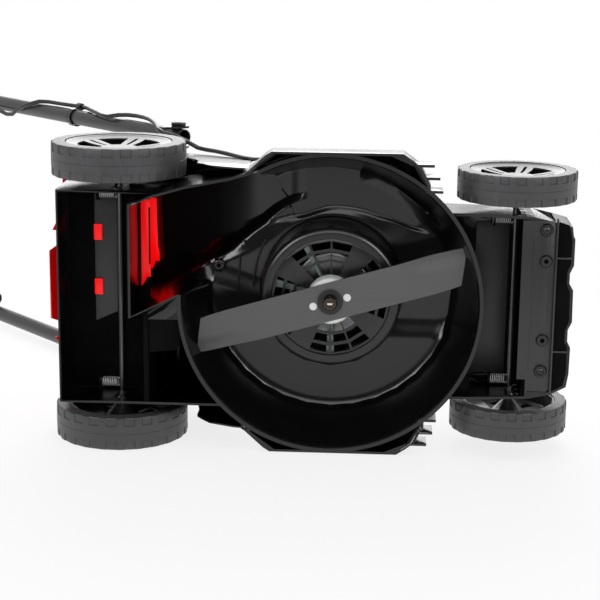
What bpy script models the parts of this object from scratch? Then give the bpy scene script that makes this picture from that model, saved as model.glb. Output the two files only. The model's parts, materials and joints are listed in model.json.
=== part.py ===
"""Cordless lawn mower, built as separate sub-parts.

The mower stands on its wheels, +Z up, nose towards -Y, its left side towards +X.
Shapes are modelled about the blade's axis, and the empty at the end moves the whole machine
so that the origin lies on the ground under the middle of its length.
Lengths are in metres, written as millimetres times mm.
"""

import math

import bmesh
import bpy
from mathutils import Matrix, Vector

mm = 0.001
deg = math.pi / 180.0

# Clearances
FIT = 0.3 * mm              # between pieces that touch or turn in each other
LOOSE = 1.0 * mm            # around pieces that drop into an opening
WALL = 3.0 * mm             # moulded wall of the deck and covers

# Blade and its drive
BLADE_LENGTH = 330 * mm
BLADE_WIDTH = 47 * mm
BLADE_THICKNESS = 3 * mm
BLADE_Z = 35 * mm           # middle of the blade's thickness above the ground
BLADE_ANGLE = 16.3 * deg    # how the blade stands in the photograph
BLADE_WING = 9 * mm         # lift of the trailing edge at the tips
BLADE_HOLE = 4.8 * mm       # radius of the two locating holes
BLADE_HOLE_AT = 21.5 * mm
BOLT_RADIUS = 5 * mm
BOLT_HEAD_RADIUS = 9.5 * mm
BOLT_HEAD_HEIGHT = 6.5 * mm
WASHER_RADIUS = 15.5 * mm
WASHER_HEIGHT = 2.4 * mm
HUB_RADIUS = 29.5 * mm
HUB_HEIGHT = 20.2 * mm
SPINDLE_RADIUS = 8 * mm
FAN_RADIUS = 80 * mm
FAN_BLADES = 7
MOTOR_RADIUS = 58 * mm
MOTOR_HEIGHT = 70 * mm
COVER_Z = 58 * mm
COVER_SKIN = 3 * mm
COVER_RADIUS = 88 * mm

# Cutting ring and deck
TIP_CLEARANCE = 17 * mm
RING_RADIUS = BLADE_LENGTH / 2 + TIP_CLEARANCE
RING_DRAFT = 24 * mm        # how much narrower the ring is under the roof
RIM_Z = 12 * mm             # ring rim above the ground at the lowest cut
ROOF_Z = 122 * mm           # underside of the cutting chamber's roof
MOTOR_FLANGE_Z = ROOF_Z + 7 * mm
SKIRT_BESIDE = 5 * mm       # how far the skirt stands out beside the ring
SKIRT_HALF = RING_RADIUS + SKIRT_BESIDE
SKIRT_TOP = 46 * mm
NOSE_HALF = 113 * mm        # half width of the nose at the bumper
NOSE_ROOT_HALF = NOSE_HALF + 5 * mm
NOSE_END_Y = -243 * mm
NOSE_BOTTOM = 20 * mm
NOSE_TOP = 98 * mm
NOSE_ROOF = 93 * mm
BUMPER_FRONT_Y = -293 * mm
BUMPER_TOP = 88 * mm
REAR_HALF = 134 * mm        # half width of the deck between the rear wheels
REAR_END_Y = 335 * mm
REAR_BOTTOM = 25 * mm
PLATFORM_TOP = 94.5 * mm
SHOULDER_HALF = REAR_HALF + 28 * mm
SHOULDER_TOP = 226 * mm
SHOULDER_Y = 104 * mm       # where the raised rear body starts
CHUTE_END_Y = 243 * mm
CHUTE_RIGHT = -REAR_HALF + 17 * mm      # chute walls at its rear end
CHUTE_LEFT = 19 * mm
PARTITION_Y = 228 * mm      # wall between the rear bay and the pockets before it

# Wheels and axles
REAR_WHEEL_RADIUS = 83.5 * mm
REAR_TYRE_WIDTH = 41 * mm
REAR_WHEEL_GAP = 12.5 * mm  # between the deck's side and the wheel
REAR_TRACK = 2 * (REAR_HALF + REAR_WHEEL_GAP + REAR_TYRE_WIDTH)     # over the tyres
REAR_AXLE_Y = 266 * mm
FRONT_WHEEL_RADIUS = 73 * mm
FRONT_TYRE_WIDTH = 36.5 * mm
FRONT_WHEEL_GAP = 14 * mm
FRONT_TRACK = 2 * (NOSE_HALF + FRONT_WHEEL_GAP + FRONT_TYRE_WIDTH)
FRONT_AXLE_Y = -225 * mm
AXLE_RADIUS = 3.5 * mm
AXLE_TRAVEL = 40 * mm       # lowest to highest cut
REAR_TYRE_DEPTH = 16.5 * mm
FRONT_TYRE_DEPTH = 14 * mm
CLEATS = 20
BUTTON_IN = 15.2 * mm       # axle end behind the wheel's outer face
CAP_SKIN = 2.5 * mm
ARCH_CLEARANCE = 15 * mm

# Axle springs
SPRING_COIL_RADIUS = 4.9 * mm
SPRING_WIRE = 0.6 * mm      # radius of the wire
SPRING_CURLS = 6
SPRING_PITCH = 3 * mm
SPRING_END = 1.3 * mm       # straight end of the wire
SPRING_REACH = AXLE_RADIUS + FIT + 2 * SPRING_END + SPRING_CURLS * SPRING_PITCH
REAR_SPRING_X = REAR_HALF - 12 * mm
FRONT_SPRING_X = NOSE_HALF - 11 * mm

# Bumper
BUMPER_SCREW_X = NOSE_HALF - 24 * mm
BUMPER_SCREW_Y = -257 * mm
BUMPER_TAB_Z = 50 * mm
SCREW_RADIUS = 2.1 * mm

# Rear flap
FLAP_HINGE_Y = 254 * mm
FLAP_HINGE_Z = 222 * mm
FLAP_ROD_RADIUS = 3 * mm
FLAP_BARREL_RADIUS = 6.5 * mm
FLAP_THICKNESS = 3 * mm
FLAP_LENGTH = 165 * mm
FLAP_SLOPE = 53 * deg
FLAP_HALF = REAR_HALF - 0.5 * mm
FLAP_SEAT = 1.7 * mm        # between the closed flap and the edges that it shuts on
FLAP_SPRING_X = 64 * mm
FLAP_SPRING_CURLS = 4
FLAP_SPRING_PITCH = 1.8 * mm

# Push handle
TUBE_RADIUS = 11 * mm
TUBE_WALL = 1.4 * mm
PIVOT_BOLT_RADIUS = 4 * mm
LOWER_TUBE_X = SHOULDER_HALF + 10 * mm
PIVOT_Y = 212 * mm
PIVOT_Z = 247 * mm
HANDLE_SLOPE = 48 * deg
FOLD_AT = 540 * mm          # from the lower pivot to the fold
FOLD_OVERLAP = 18 * mm      # how far each tube runs past the fold
UPPER_END = 960 * mm        # from the lower pivot to the cross bar
HANDLE_CORNER = 60 * mm
PIN_RADIUS = 3 * mm
GRIP_RADIUS = 15 * mm
UPPER_LEG_X = LOWER_TUBE_X - 2 * TUBE_RADIUS - FIT
GRIP_HALF = UPPER_LEG_X - HANDLE_CORNER - 11.7 * mm
FOLD_EYE_X = UPPER_LEG_X - 18.7 * mm
FOLD_CAM = 16 * mm

# Switch box and start lever, measured from BOX_AT up the handle
BOX_AT = 859 * mm
BOX_X = (-UPPER_LEG_X - 22.3 * mm, -UPPER_LEG_X + 37.7 * mm)
BOX_Y = (-38 * mm, 38 * mm)
BOX_Z = (-16 * mm, 19 * mm)
BUTTON_RADIUS = 7 * mm
BUTTON_X = -UPPER_LEG_X + 23.7 * mm
BUTTON_Y = 18 * mm
BAIL_AT = 845 * mm
BAIL_WIRE = 4 * mm
BAIL_REACH = 100 * mm
BAIL_INSIDE = 16 * mm       # from the left leg to the lever's arm
BAIL_SLOPE = 38 * deg

# Hood, battery and key
HOOD_Y = -11 * mm
HOOD_HALF_X = 103 * mm
HOOD_HALF_Y = 114 * mm
HOOD_TOP = 240 * mm
BAY_HALF_X = 44 * mm
BAY_HALF_Y = 61 * mm
BAY_Y = -25 * mm
BAY_DEPTH = 82 * mm
BAY_WALL = 2.5 * mm
BATTERY_HALF_X = 40 * mm
BATTERY_LENGTH = 102 * mm
BATTERY_HEIGHT = 74 * mm
LID_THICKNESS = 3 * mm
LID_RISE = 11 * mm
LID_HINGE_Y = -98 * mm
LID_HINGE_Z = 246.5 * mm
LID_BARREL = 3.5 * mm
LID_BARREL_HALF = 28 * mm
LID_PIN_RADIUS = 2 * mm
KEY_Y = -77.5 * mm
KEY_HALF = 6 * mm
CARRY_Y = -185 * mm

CABLE_RADIUS = 3 * mm
CABLE_ENTRY_X = -UPPER_LEG_X + 22.7 * mm
CLIP_AT = 263 * mm
CLIP_OFF = 8.4 * mm
CLIP_X = -LOWER_TUBE_X - 14.6 * mm
UPPER_CLIP_AT = 670 * mm
GLAND_Y = 25 * mm
GLAND_Z = 166 * mm

# Colours as base colour, roughness and metallic
FINISHES = {
    "black_plastic": ((0.012, 0.012, 0.013), 0.32, 0.0),
    "dark_grey_plastic": ((0.035, 0.036, 0.039), 0.45, 0.0),
    "tyre_plastic": ((0.030, 0.030, 0.033), 0.55, 0.0),
    "red_plastic": ((0.62, 0.006, 0.012), 0.30, 0.0),
    "blade_steel": ((0.30, 0.30, 0.31), 0.35, 0.9),
    "zinc_steel": ((0.62, 0.62, 0.64), 0.28, 1.0),
    "axle_steel": ((0.22, 0.22, 0.23), 0.35, 0.9),
    "white_nylon": ((0.80, 0.82, 0.80), 0.45, 0.0),
    "fan_plastic": ((0.30, 0.36, 0.34), 0.5, 0.0),
    "motor_steel": ((0.35, 0.35, 0.36), 0.4, 0.8),
    "tube_enamel": ((0.018, 0.018, 0.020), 0.30, 0.0),
    "foam": ((0.02, 0.02, 0.022), 0.85, 0.0),
    "cable_rubber": ((0.010, 0.010, 0.011), 0.35, 0.0),
}

origin_empty = None


# Mesh tools

def clear_scene():
    for old in list(bpy.data.objects):
        bpy.data.objects.remove(old, do_unlink=True)


def finish_material(kind, name):
    colour, roughness, metallic = FINISHES[kind]
    made = bpy.data.materials.new(name)
    made.use_nodes = True
    shader = made.node_tree.nodes["Principled BSDF"]
    shader.inputs["Base Color"].default_value = (*colour, 1.0)
    shader.inputs["Roughness"].default_value = roughness
    shader.inputs["Metallic"].default_value = metallic
    return made


def make_object(name, points, faces, kind=None, smooth=False):
    """Make an object from points and faces, with normals facing out."""
    mesh = bpy.data.meshes.new(name)
    mesh.from_pydata([tuple(p) for p in points], [], [tuple(f) for f in faces])
    work = bmesh.new()
    work.from_mesh(mesh)
    bmesh.ops.recalc_face_normals(work, faces=work.faces)
    work.to_mesh(mesh)
    work.free()
    made = bpy.data.objects.new(name, mesh)
    bpy.context.scene.collection.objects.link(made)
    if kind:
        dress(made, kind, smooth)
    return made


def tidy(piece):
    """Merge the flat faces that cutting has split."""
    work = bmesh.new()
    work.from_mesh(piece.data)
    bmesh.ops.dissolve_limit(work, angle_limit=0.05 * deg, verts=work.verts, edges=work.edges)
    bmesh.ops.triangulate(work, faces=work.faces)
    work.to_mesh(piece.data)
    work.free()
    return piece


def dress(piece, kind, smooth=False):
    piece.data.materials.clear()
    piece.data.materials.append(finish_material(kind, piece.name))
    if smooth:
        piece.data.shade_smooth()
        piece.data.set_sharp_from_angle(angle=32 * deg)
    return piece


def grid_faces(rows, columns, closed_rows=False, closed_columns=True):
    """Quads between successive rows of points, each row holding the same number of columns."""
    faces = []
    for i in range(rows if closed_rows else rows - 1):
        for j in range(columns if closed_columns else columns - 1):
            a = i * columns + j
            b = i * columns + (j + 1) % columns
            c = ((i + 1) % rows) * columns + (j + 1) % columns
            d = ((i + 1) % rows) * columns + j
            faces.append((a, b, c, d))
    return faces


def loft(name, rings, kind=None, smooth=False, closed=False):
    """Skin rings of equal length, and cap the first and last unless the rings form a loop."""
    count = len(rings[0])
    points = [p for ring in rings for p in ring]
    faces = grid_faces(len(rings), count, closed_rows=closed)
    if not closed:
        faces.append(tuple(reversed(range(count))))
        faces.append(tuple(range((len(rings) - 1) * count, len(rings) * count)))
    return make_object(name, points, faces, kind, smooth)


def prism(name, outline, low, high, axis="Z", kind=None):
    """Extrude an outline along an axis: (x, y) along Z, (y, z) along X or (x, z) along Y."""
    place = {
        "Z": lambda u, v, w: (u, v, w),
        "X": lambda u, v, w: (w, u, v),
        "Y": lambda u, v, w: (u, w, v),
    }[axis]
    rings = [[place(u, v, w) for u, v in outline] for w in (low, high)]
    return loft(name, rings, kind)


def box(name, x0, x1, y0, y1, z0, z1, kind=None):
    return prism(name, [(x0, y0), (x1, y0), (x1, y1), (x0, y1)], z0, z1, "Z", kind)


def bevel_box(name, x0, x1, y0, y1, z0, z1, width, kind=None, segments=2):
    made = box(name, x0, x1, y0, y1, z0, z1)
    rounding = made.modifiers.new("rounding", "BEVEL")
    rounding.width = width
    rounding.segments = segments
    rounding.limit_method = "NONE"
    bake(made)
    return dress(made, kind, True) if kind else made


def spun(name, profile, segments, kind=None, axis="Z", centre=(0, 0, 0), loop=False, smooth=True):
    """Turn a profile of (radius, height) round an axis.

    A loop profile gives a ring. Otherwise the profile runs from the axis to the axis,
    and its first and last points become poles.
    """
    turn = {"Z": Matrix.Identity(3), "X": Matrix.Rotation(math.pi / 2, 3, "Y"),
            "Y": Matrix.Rotation(-math.pi / 2, 3, "X")}[axis]
    points = []
    faces = []
    body = profile if loop else profile[1:-1]
    for radius, height in body:
        for j in range(segments):
            angle = 2 * math.pi * j / segments
            points.append(Vector((radius * math.cos(angle), radius * math.sin(angle), height)))
    faces = grid_faces(len(body), segments, closed_rows=loop)
    if not loop:
        for row, end in ((0, profile[0]), (len(body) - 1, profile[-1])):
            pole = len(points)
            points.append(Vector((0, 0, end[1])))
            for j in range(segments):
                faces.append((pole, row * segments + j, row * segments + (j + 1) % segments))
    middle = Vector(centre)
    return make_object(name, [turn @ p + middle for p in points], faces, kind, smooth)


def cylinder(name, radius, low, high, axis="Z", centre=(0, 0, 0), segments=24, kind=None):
    profile = [(0, low), (radius, low), (radius, high), (0, high)]
    return spun(name, profile, segments, kind, axis, centre)


def perforated(name, lower, upper, stations, is_open, kind=None, axis="Z", centre=(0, 0, 0),
               smooth=False, closed=False):
    """A turned sheet with windows.

    lower and upper are matching lists of (radius, height) for its two faces. The cell between
    profile points i and i + 1 and stations j and j + 1 is left out where is_open(i, j) is true.
    A closed sheet has no bore in its middle.
    """
    turn = {"Z": Matrix.Identity(3), "X": Matrix.Rotation(math.pi / 2, 3, "Y")}[axis]
    middle = Vector(centre)
    rows = len(lower)
    count = len(stations)
    points = []
    for profile in (lower, upper):
        for radius, height in profile:
            for angle in stations:
                p = Vector((radius * math.cos(angle), radius * math.sin(angle), height))
                points.append(turn @ p + middle)

    def at(side, i, j):
        return (side * rows + i) * count + j % count

    def solid(i, j):
        return 0 <= i < rows - 1 and not is_open(i, j % count)

    faces = []
    for i in range(rows - 1):
        for j in range(count):
            if not solid(i, j):
                continue
            faces.append((at(0, i, j), at(0, i, j + 1), at(0, i + 1, j + 1), at(0, i + 1, j)))
            faces.append((at(1, i, j), at(1, i + 1, j), at(1, i + 1, j + 1), at(1, i, j + 1)))
            edges = (((i, j), (i, j + 1), solid(i - 1, j)),
                     ((i + 1, j), (i + 1, j + 1), solid(i + 1, j)),
                     ((i, j), (i + 1, j), solid(i, j - 1)),
                     ((i, j + 1), (i + 1, j + 1), solid(i, j + 1)))
            for a, b, filled in edges:
                if not filled and not (closed and a[0] == b[0] == 0):
                    faces.append((at(0, *a), at(0, *b), at(1, *b), at(1, *a)))
    if closed:
        faces += [tuple(at(side, 0, j) for j in range(count)) for side in (0, 1)]
    made = make_object(name, points, faces, None)
    work = bmesh.new()
    work.from_mesh(made.data)
    bmesh.ops.delete(work, geom=[v for v in work.verts if not v.link_faces], context="VERTS")
    bmesh.ops.recalc_face_normals(work, faces=work.faces)
    work.to_mesh(made.data)
    work.free()
    return dress(made, kind, smooth) if kind else made


def sweep(name, path, radius, sides, kind=None, smooth=True, shape=None):
    """A tube along a path, its rings carried from point to point without twist."""
    line = [Vector(p) for p in path]
    outline = shape or [(radius * math.cos(2 * math.pi * k / sides),
                         radius * math.sin(2 * math.pi * k / sides)) for k in range(sides)]
    tangents = []
    for i in range(len(line)):
        ahead = line[min(i + 1, len(line) - 1)] - line[i]
        behind = line[i] - line[max(i - 1, 0)]
        blend = Vector((0, 0, 0))
        for step in (ahead, behind):
            if step.length > 0:
                blend += step.normalized()
        tangents.append(blend.normalized())
    start = Vector((1, 0, 0)) if abs(tangents[0].x) < 0.9 else Vector((0, 0, 1))
    across = (start - tangents[0] * start.dot(tangents[0])).normalized()
    rings = []
    for i, point in enumerate(line):
        across = (across - tangents[i] * across.dot(tangents[i])).normalized()
        other = tangents[i].cross(across)
        stretch = 1.0
        if 0 < i < len(line) - 1:
            a = (line[i] - line[i - 1]).normalized()
            b = (line[i + 1] - line[i]).normalized()
            stretch = 1.0 / max(0.5, math.sqrt((1 + a.dot(b)) / 2))
        bend = None
        if stretch > 1.0001:
            bend = (b - a).normalized()
        ring = []
        for u, v in outline:
            offset = across * u + other * v
            if bend is not None:
                offset += bend * offset.dot(bend) * (stretch - 1)
            ring.append(point + offset)
        rings.append(ring)
    return loft(name, rings, kind, smooth)


def rounded_path(corners, radius, steps=6):
    """A path through corners, each turned into an arc of the given radius."""
    line = [Vector(c) for c in corners]
    path = [line[0]]
    for i in range(1, len(line) - 1):
        back = (line[i - 1] - line[i]).normalized()
        on = (line[i + 1] - line[i]).normalized()
        angle = back.angle(on)
        reach = radius / math.tan(angle / 2)
        middle = line[i] + (back + on).normalized() * (radius / math.sin(angle / 2))
        first = line[i] + back * reach - middle
        last = line[i] + on * reach - middle
        turn = first.angle(last)
        for k in range(steps + 1):
            share = k / steps
            mix = (first * math.sin((1 - share) * turn) + last * math.sin(share * turn))
            path.append(middle + mix / math.sin(turn))
    path.append(line[-1])
    return path


def bake(piece):
    """Turn a piece's modifiers into its mesh."""
    graph = bpy.context.evaluated_depsgraph_get()
    graph.update()
    made = bpy.data.meshes.new_from_object(piece.evaluated_get(graph))
    piece.modifiers.clear()
    piece.data = made


def combine(piece, tools, operation):
    """Cut tools from a piece or join them to it, one after another."""
    for tool in tools:
        step = piece.modifiers.new(operation.lower(), "BOOLEAN")
        step.operation = operation
        step.solver = "EXACT"
        step.object = tool
        bake(piece)
        bpy.data.objects.remove(tool, do_unlink=True)
    work = bmesh.new()
    work.from_mesh(piece.data)
    bmesh.ops.remove_doubles(work, verts=work.verts, dist=0.002 * mm)
    work.to_mesh(piece.data)
    work.free()
    return piece


def cut(piece, *tools):
    return combine(piece, tools, "DIFFERENCE")


def join(piece, *tools):
    return combine(piece, tools, "UNION")


def settle(piece, centre, parent):
    """Move a piece's origin to a point on its joint's axis and hang it on its parent."""
    shift = Vector(centre)
    piece.data.transform(Matrix.Translation(-shift))
    piece.location = shift
    piece.parent = parent


def pivot(name, centre):
    """An empty on a joint's axis, carried by the machine's origin."""
    made = bpy.data.objects.new(name, None)
    bpy.context.scene.collection.objects.link(made)
    made.location = centre
    made.parent = origin_empty
    made.hide_render = True
    return made


def hang(pieces, empty):
    """Hang pieces on an empty without moving them."""
    for piece in pieces:
        piece.data.transform(Matrix.Translation(-Vector(empty.location)))
        piece.parent = empty


# Deck

def ring_at(height):
    """Radius of the cutting ring's inner face at a height."""
    share = (height - RIM_Z) / (ROOF_Z - 22 * mm - RIM_Z)
    return RING_RADIUS - RING_DRAFT * max(0.0, share)


def chamber(name, grow):
    """The space swept round the blade, grown by the wall where it is the deck's outside."""
    low = RIM_Z if grow else RIM_Z - 20 * mm
    knee = ROOF_Z - 22 * mm
    profile = [(0, low), (RING_RADIUS + grow, low)]
    if not grow:
        profile.append((RING_RADIUS, RIM_Z))
    profile += [(ring_at(knee) + grow, knee), (ring_at(knee) - 7.5 * mm + grow, ROOF_Z - 5.5 * mm + grow),
                (ring_at(knee) - 20 * mm + grow, ROOF_Z + grow), (0, ROOF_Z + grow)]
    return spun(name, profile, 32)


def chute_floor_outline(grow):
    """Plan of the discharge chute below the roof, from the ring to its rear end."""
    half = REAR_HALF / mm
    mid_right = [(-163, 83), (-half - 17, 122), (-half - 6, 176), (-half + 7, 220)]
    outline = [(-120 * mm, 40 * mm)] + [(x * mm, y * mm) for x, y in mid_right]
    outline = [(x - grow, y) for x, y in outline]
    outline.append((CHUTE_RIGHT - grow, CHUTE_END_Y + grow))
    outline.append((CHUTE_LEFT + grow, CHUTE_END_Y + grow))
    outline += [(CHUTE_LEFT - 28 * mm + grow, CHUTE_END_Y - 56 * mm), (-5 * mm + grow, 130 * mm)]
    return outline


def volute(name, grow):
    """The rising channel that carries cut grass from the ring's right side to the chute."""
    half = REAR_HALF / mm
    stations = [((-70, -85), (-100, -122), 114), ((-106, -45), (-150, -52), 118),
                ((-112, 0), (-157, 0), 127), ((-108, 45), (-154, 45), 131),
                ((-78, 86), (-150, 88), 140), ((-42, 128), (-half - 7, 140), 160),
                ((-14, 180), (-half + 4, 195), 184)]
    rings = []
    for inner, outer, top in stations:
        a = Vector((inner[0] * mm, inner[1] * mm, 0))
        b = Vector((outer[0] * mm, outer[1] * mm, 0))
        side = (b - a).normalized() * grow
        a -= side
        b += side
        rings.append([(a.x, a.y, 60 * mm), (b.x, b.y, 60 * mm),
                      (b.x, b.y, top * mm + grow), (a.x, a.y, top * mm + grow)])
    ends = [(CHUTE_END_Y - 1 * mm, 60 * mm), (CHUTE_END_Y, 60 * mm)]
    if not grow:
        ends = [ends[0], (CHUTE_END_Y, PLATFORM_TOP), (CHUTE_END_Y + 30 * mm, PLATFORM_TOP)]
    for y, low in ends:
        rings.append([(CHUTE_LEFT + grow, y, low), (CHUTE_RIGHT - grow, y, low),
                      (CHUTE_RIGHT - grow, y, 200 * mm + grow), (CHUTE_LEFT + grow, y, 200 * mm + grow)])
    return loft(name, rings)


def arch_points(clearance, first, last, count):
    """Points round a rear wheel in side view, from one angle to another."""
    radius = REAR_WHEEL_RADIUS + clearance
    step = (last - first) / (count - 1)
    angles = [first + step * k for k in range(count)]
    return [(REAR_AXLE_Y + radius * math.cos(a), REAR_WHEEL_RADIUS + radius * math.sin(a)) for a in angles]


def shoulder_top(inset):
    """Side view of the top of the raised body, from its rear face to its front."""
    w = inset
    rear = REAR_AXLE_Y - 16 * mm - w
    return [(rear, SHOULDER_TOP - 12 * mm - w / 2), (rear - 7 * mm, SHOULDER_TOP - w),
            (205 * mm + w / 2, SHOULDER_TOP - 2 * mm - w), (184 * mm + w / 2, 212 * mm - w),
            (158 * mm + w / 2, 190 * mm - w), (128 * mm + w / 2, 155 * mm - w), (SHOULDER_Y + w, 112 * mm - w / 2)]


def shoulder_outline(inset):
    """Side view of the shoulder over the rear wheel; inset gives the hollow behind its skin."""
    if inset:
        lip = [(SHOULDER_Y + inset, 0), (REAR_AXLE_Y - 16 * mm - inset, 0)]
    else:
        lip = [(SHOULDER_Y, 30 * mm), (120 * mm, 34 * mm), (150 * mm, 48 * mm)]
        lip += arch_points(ARCH_CLEARANCE, 187 * deg, 100 * deg, 9)
    return lip + shoulder_top(inset)


def bridge_outline(inset):
    """Side view of the raised body between the shoulders."""
    low = 0 if inset else 60 * mm
    rear = REAR_AXLE_Y - 16 * mm - inset
    return [(SHOULDER_Y + inset, low), (rear, low)] + shoulder_top(inset + 2 * mm)


def leaning_sides(inset):
    """Wedges that lean the shoulders' side faces inwards towards the top."""
    wedges = []
    for side in (-1, 1):
        outline = [(SHOULDER_HALF + 6 * mm, -1 * mm), (SHOULDER_HALF + 30 * mm, -1 * mm),
                   (SHOULDER_HALF + 30 * mm, 260 * mm), (SHOULDER_HALF - 11 * mm, 260 * mm)]
        outline = [(side * (x - inset), z) for x, z in outline]
        wedges.append(prism("lean", outline, SHOULDER_Y - 5 * mm, REAR_END_Y, "Y"))
    return wedges


def skirt(name):
    """The eight-sided skirt round the ring, sloping in to the drum above."""
    half = [(-37, -118), (-16, -107), (-8, -97), (0, -85), (0, 72), (-5, 80), (-26, 103), (-35, 118)]
    half = [(SKIRT_HALF + x * mm, y * mm) for x, y in half]
    outline = half + [(-x, y) for x, y in reversed(half)]
    rings = []
    for z, scale in ((RIM_Z, 1.0), (SKIRT_TOP, 1.0), (SKIRT_TOP + 26 * mm, 0.9)):
        rings.append([(x * scale, y * scale, z) for x, y in outline])
    return loft(name, rings)


def flap_line(along, off):
    """A point in the closed flap's plane, as (y, z), from its hinge."""
    y = FLAP_HINGE_Y + along * math.cos(FLAP_SLOPE) + off * math.sin(FLAP_SLOPE)
    z = FLAP_HINGE_Z - along * math.sin(FLAP_SLOPE) + off * math.cos(FLAP_SLOPE)
    return y, z


def flap_reach(y, off):
    """How far down the flap's plane a given y lies."""
    return (y - FLAP_HINGE_Y - off * math.sin(FLAP_SLOPE)) / math.cos(FLAP_SLOPE)


def axle_slot(name, y, z, side, half):
    """A slot for an axle with three notches for the cutting heights, cut through one side wall."""
    r = AXLE_RADIUS + FIT
    notch = 6 * mm
    outline = [(y + r, z + r), (y + r, z - AXLE_TRAVEL - r)]
    for k in range(3):
        middle = z - AXLE_TRAVEL + k * AXLE_TRAVEL / 2
        if k > 0:
            outline.append((y - r, middle - r))
        outline += [(y - r - notch, middle - r), (y - r - notch, middle + r)]
        if k < 2:
            outline.append((y - r, middle + r))
    x0, x1 = sorted((side * (half - 9 * mm), side * (half + 6 * mm)))
    return prism(name, outline, x0, x1, "X")


def nose_ring(y, half, inset):
    """Section across the nose with its top edges chamfered."""
    c = 10 * mm
    side = half - inset
    low = -10 * mm if inset else NOSE_BOTTOM
    top = NOSE_ROOF if inset else NOSE_TOP
    return [(-side, y, low), (side, y, low), (side, y, top - c), (side - c, y, top), (c - side, y, top),
            (-side, y, top - c)]


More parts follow.
